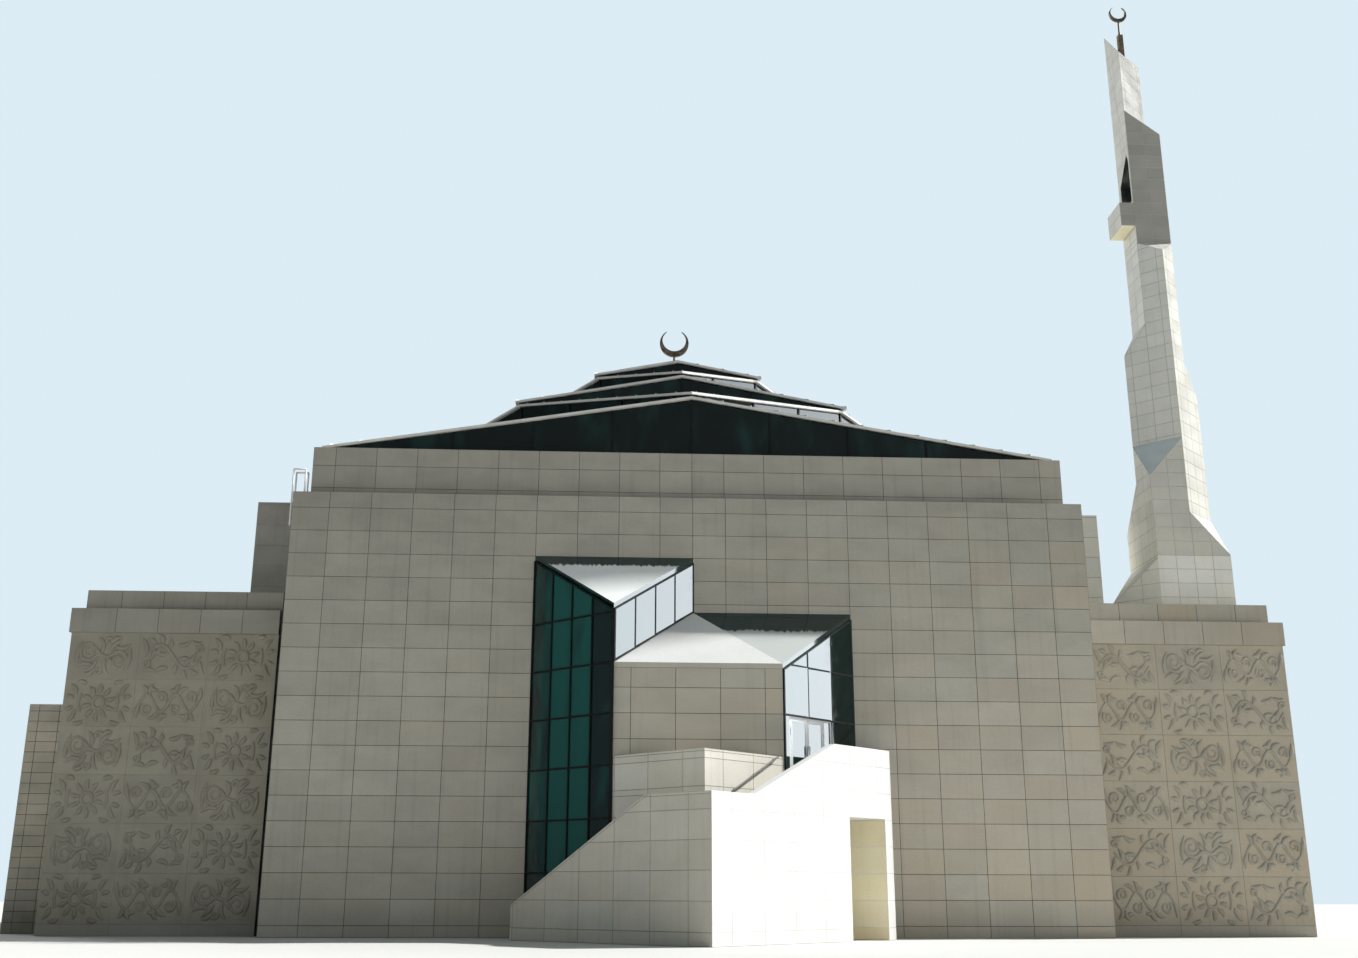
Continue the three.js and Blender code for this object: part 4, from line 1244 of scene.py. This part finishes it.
def cellStrokes(rng, kind):
    squeeze = rng.uniform(*carving["squeeze"])
    return [
        [(x * squeeze, z, width * rng.uniform(*carving["widths"])) for x, z, width in stroke]
        for stroke in cellKinds[kind]()
    ]


def carve(name, side, finish, seed):
    rng = random.Random(seed)
    points, edges, widths = [], [], []
    for column, (near, far) in enumerate(zip(carvedEdges, carvedEdges[1:])):
        for row in range(wing["rows"]):
            centreX = side * (near + far) / 2
            centreZ = panels["foot"] + (row + 0.5) * wing["row"]
            flip = rng.choice((-1, 1))
            for stroke in cellStrokes(rng, (column + 2 * row + (side > 0)) % len(cellKinds)):
                for half in (-1, 1):
                    first = len(points)
                    points += [(centreX + flip * half * x, 0, centreZ + half * z) for x, z, width in stroke]
                    widths += [width for x, z, width in stroke]
                    edges += [(k, k + 1) for k in range(first, len(points) - 1)]
    mesh = bpy.data.meshes.new(name + "_lines")
    mesh.from_pydata(points, edges, [])
    mesh.attributes.new("width", "FLOAT", "POINT").data.foreach_set("value", widths)
    values = {
        "Material": finishes[finish], "Radius": carving["radius"], "Sides": carving["sides"],
        "Press": (1, carving["flatness"], 1), "Place": (0, carving["face"], 0),
    }
    grow(name, mesh, carvingTree, values)


# The strokes are darker than their stone as painted shade along the relief, the left wing's darker still as
# painted shade
carve("carving_left", -1, "carvedStrokeLeft", 31)
carve("carving_right", 1, "carvedStroke", 32)
print("wing fronts carved")


# Floors, roofs and small metal

paint("pavingStone", "stair_lower_flight", "stair_upper_flight", "middle_landing", "upper_landing")
paint("pavingStone", "bay_floor", "ground_floor", "hall_floor")
paint("roofStone", "terrace", "wing_left_roof", "wing_right_roof")
# The handrail's steel is darkened as painted shade
paint("railDark", "handrail")
paint("dullBronze", "roof_crescent", "minaret_crescent")

# Two stringers on the left wall that bend over its top, with brackets to it and rungs between
ladder = {
    "x": -11.69, "front": -11.50, "back": -11.12, "foot": 11.35, "top": 13.05, "radius": 0.026,
    "lap": 0.01, "reach": 0.35, "roof": 12.34, "bracket": 0.07, "brackets": (11.50, 12.24),
    "rung": 0.28, "firstRung": 11.45, "rungRadius": 0.014, "rungs": 4,
}


def makeLadder():
    bm = bmesh.new()
    x, top, lap = ladder["x"], ladder["top"], ladder["lap"]
    far = x + ladder["reach"]
    for y in (ladder["front"], ladder["back"]):
        runs = [
            ((x, y, ladder["foot"]), (x, y, top)), ((x - lap, y, top), (far + lap, y, top)),
            ((far, y, top), (far, y, ladder["roof"])),
            *(((x, y, z), (x + ladder["bracket"], y, z)) for z in ladder["brackets"]),
        ]
        for start, end in runs:
            addRod(bm, start, end, ladder["radius"])
    for z in steps(ladder["firstRung"], ladder["rung"], ladder["rungs"]):
        addRod(bm, (x, ladder["front"], z), (x, ladder["back"], z), ladder["rungRadius"], 0, 8)
    finishPiece(bm, "roof_ladder", ("whiteFrame",))


makeLadder()
print("small metal made")


# Stage: floor, sun, sky and camera

# Light comes from where "sun" and "fill" point, and the glow is seen in reflections alone
stageLook = {
    "floor": 260, "floorDrop": 0.004, "floorColour": (0.63, 0.625, 0.59), "floorRough": 0.85,
    "sun": (1.0, 0.245, 1.0), "sunPower": 5.4, "sunSize": 2.5,
    "fill": (-0.7, 0.7, 0.3), "fillPower": 0.9, "fillSize": 25,
    "skyDark": (0.10, 0.125, 0.14), "skyBright": (0.42, 0.45, 0.48), "skyEdge": 0.9,
    "backdrop": (0.72, 0.84, 0.91), "glow": (7.1, 7.7, 8.1), "glowFrom": (0.94, 0.19, 0.28),
    "glowEdge": (0.90, 0.965),
}
# The photo's camera, in metres, millimetres of lens and sensor, and degrees
cameraLook = {
    "place": (-2.485, -51.391, 1.155), "lens": 37.21, "sensor": 36, "reach": 500,
    "yaw": -2.9919, "pitch": 16.4458, "roll": 0.1330,
}


def makeFloor():
    material, tree, shader = startMaterial("floorFinish", {})
    shader.inputs["Roughness"].default_value = stageLook["floorRough"]
    shader.inputs["Base Color"].default_value = (*stageLook["floorColour"], 1)
    bm = bmesh.new()
    bmesh.ops.create_grid(bm, x_segments=1, y_segments=1, size=stageLook["floor"] / 2)
    bmesh.ops.translate(bm, verts=bm.verts, vec=(0, 0, -stageLook["floorDrop"]))
    mesh = finishMesh(bm, "stage_floor", ())
    mesh.materials.append(material)
    floor = addObject("stage_floor", mesh)


def makeSky():
    world = bpy.data.worlds.new("studio")
    bpy.context.scene.world = world
    world.use_nodes = True
    tree = world.node_tree
    background = tree.nodes["Background"]
    place = addNode(tree, "ShaderNodeTexCoord")
    parts = addNode(tree, "ShaderNodeSeparateXYZ")
    near = addNode(tree, "ShaderNodeVectorMath", operation="DOT_PRODUCT")
    near.inputs[1].default_value = Vector(stageLook["glowFrom"]).normalized()
    path = addNode(tree, "ShaderNodeLightPath")
    across = remap(tree, parts.outputs["X"], -stageLook["skyEdge"], stageLook["skyEdge"])
    light = mixColour(tree, across, stageLook["skyDark"], stageLook["skyBright"])
    haze = remap(tree, near.outputs["Value"], *stageLook["glowEdge"])
    haze = calc(tree, "MULTIPLY", haze, path.outputs["Is Glossy Ray"])
    light = mixColour(tree, haze, light, stageLook["glow"])
    shown = mixColour(tree, path.outputs["Is Camera Ray"], light, stageLook["backdrop"])
    linkAll(tree, (
        (place.outputs["Generated"], parts.inputs[0]), (place.outputs["Generated"], near.inputs[0]),
        (shown, background.inputs["Color"]),
    ))
    layOut(tree)


def makeLamp(name):
    lamp = bpy.data.lights.new(name, "SUN")
    lamp.energy = stageLook[name + "Power"]
    lamp.angle = math.radians(stageLook[name + "Size"])
    addObject(name, lamp).rotation_euler = Vector(stageLook[name]).to_track_quat("Z", "Y").to_euler()


def makeCamera():
    yaw, pitch, roll = (math.radians(cameraLook[k]) for k in ("yaw", "pitch", "roll"))
    forward = Vector((-math.sin(yaw) * math.cos(pitch), math.cos(yaw) * math.cos(pitch), math.sin(pitch)))
    right = Vector((math.cos(yaw), math.sin(yaw), 0))
    up = right.cross(forward)
    right, up = (
        math.cos(roll) * right + math.sin(roll) * up, math.cos(roll) * up - math.sin(roll) * right,
    )
    lens = bpy.data.cameras.new("photo_view")
    lens.lens = cameraLook["lens"]
    lens.sensor_width = cameraLook["sensor"]
    lens.clip_end = cameraLook["reach"]
    camera = addObject("photo_view", lens)
    turn = Matrix((right, up, -forward)).transposed().to_4x4()
    camera.matrix_world = Matrix.Translation(cameraLook["place"]) @ turn
    bpy.context.scene.camera = camera


makeFloor()
makeSky()
makeLamp("sun")
makeLamp("fill")
makeCamera()
bpy.context.scene.view_settings.view_transform = "Standard"
bpy.context.scene.view_settings.look = "None"
print("stage set")
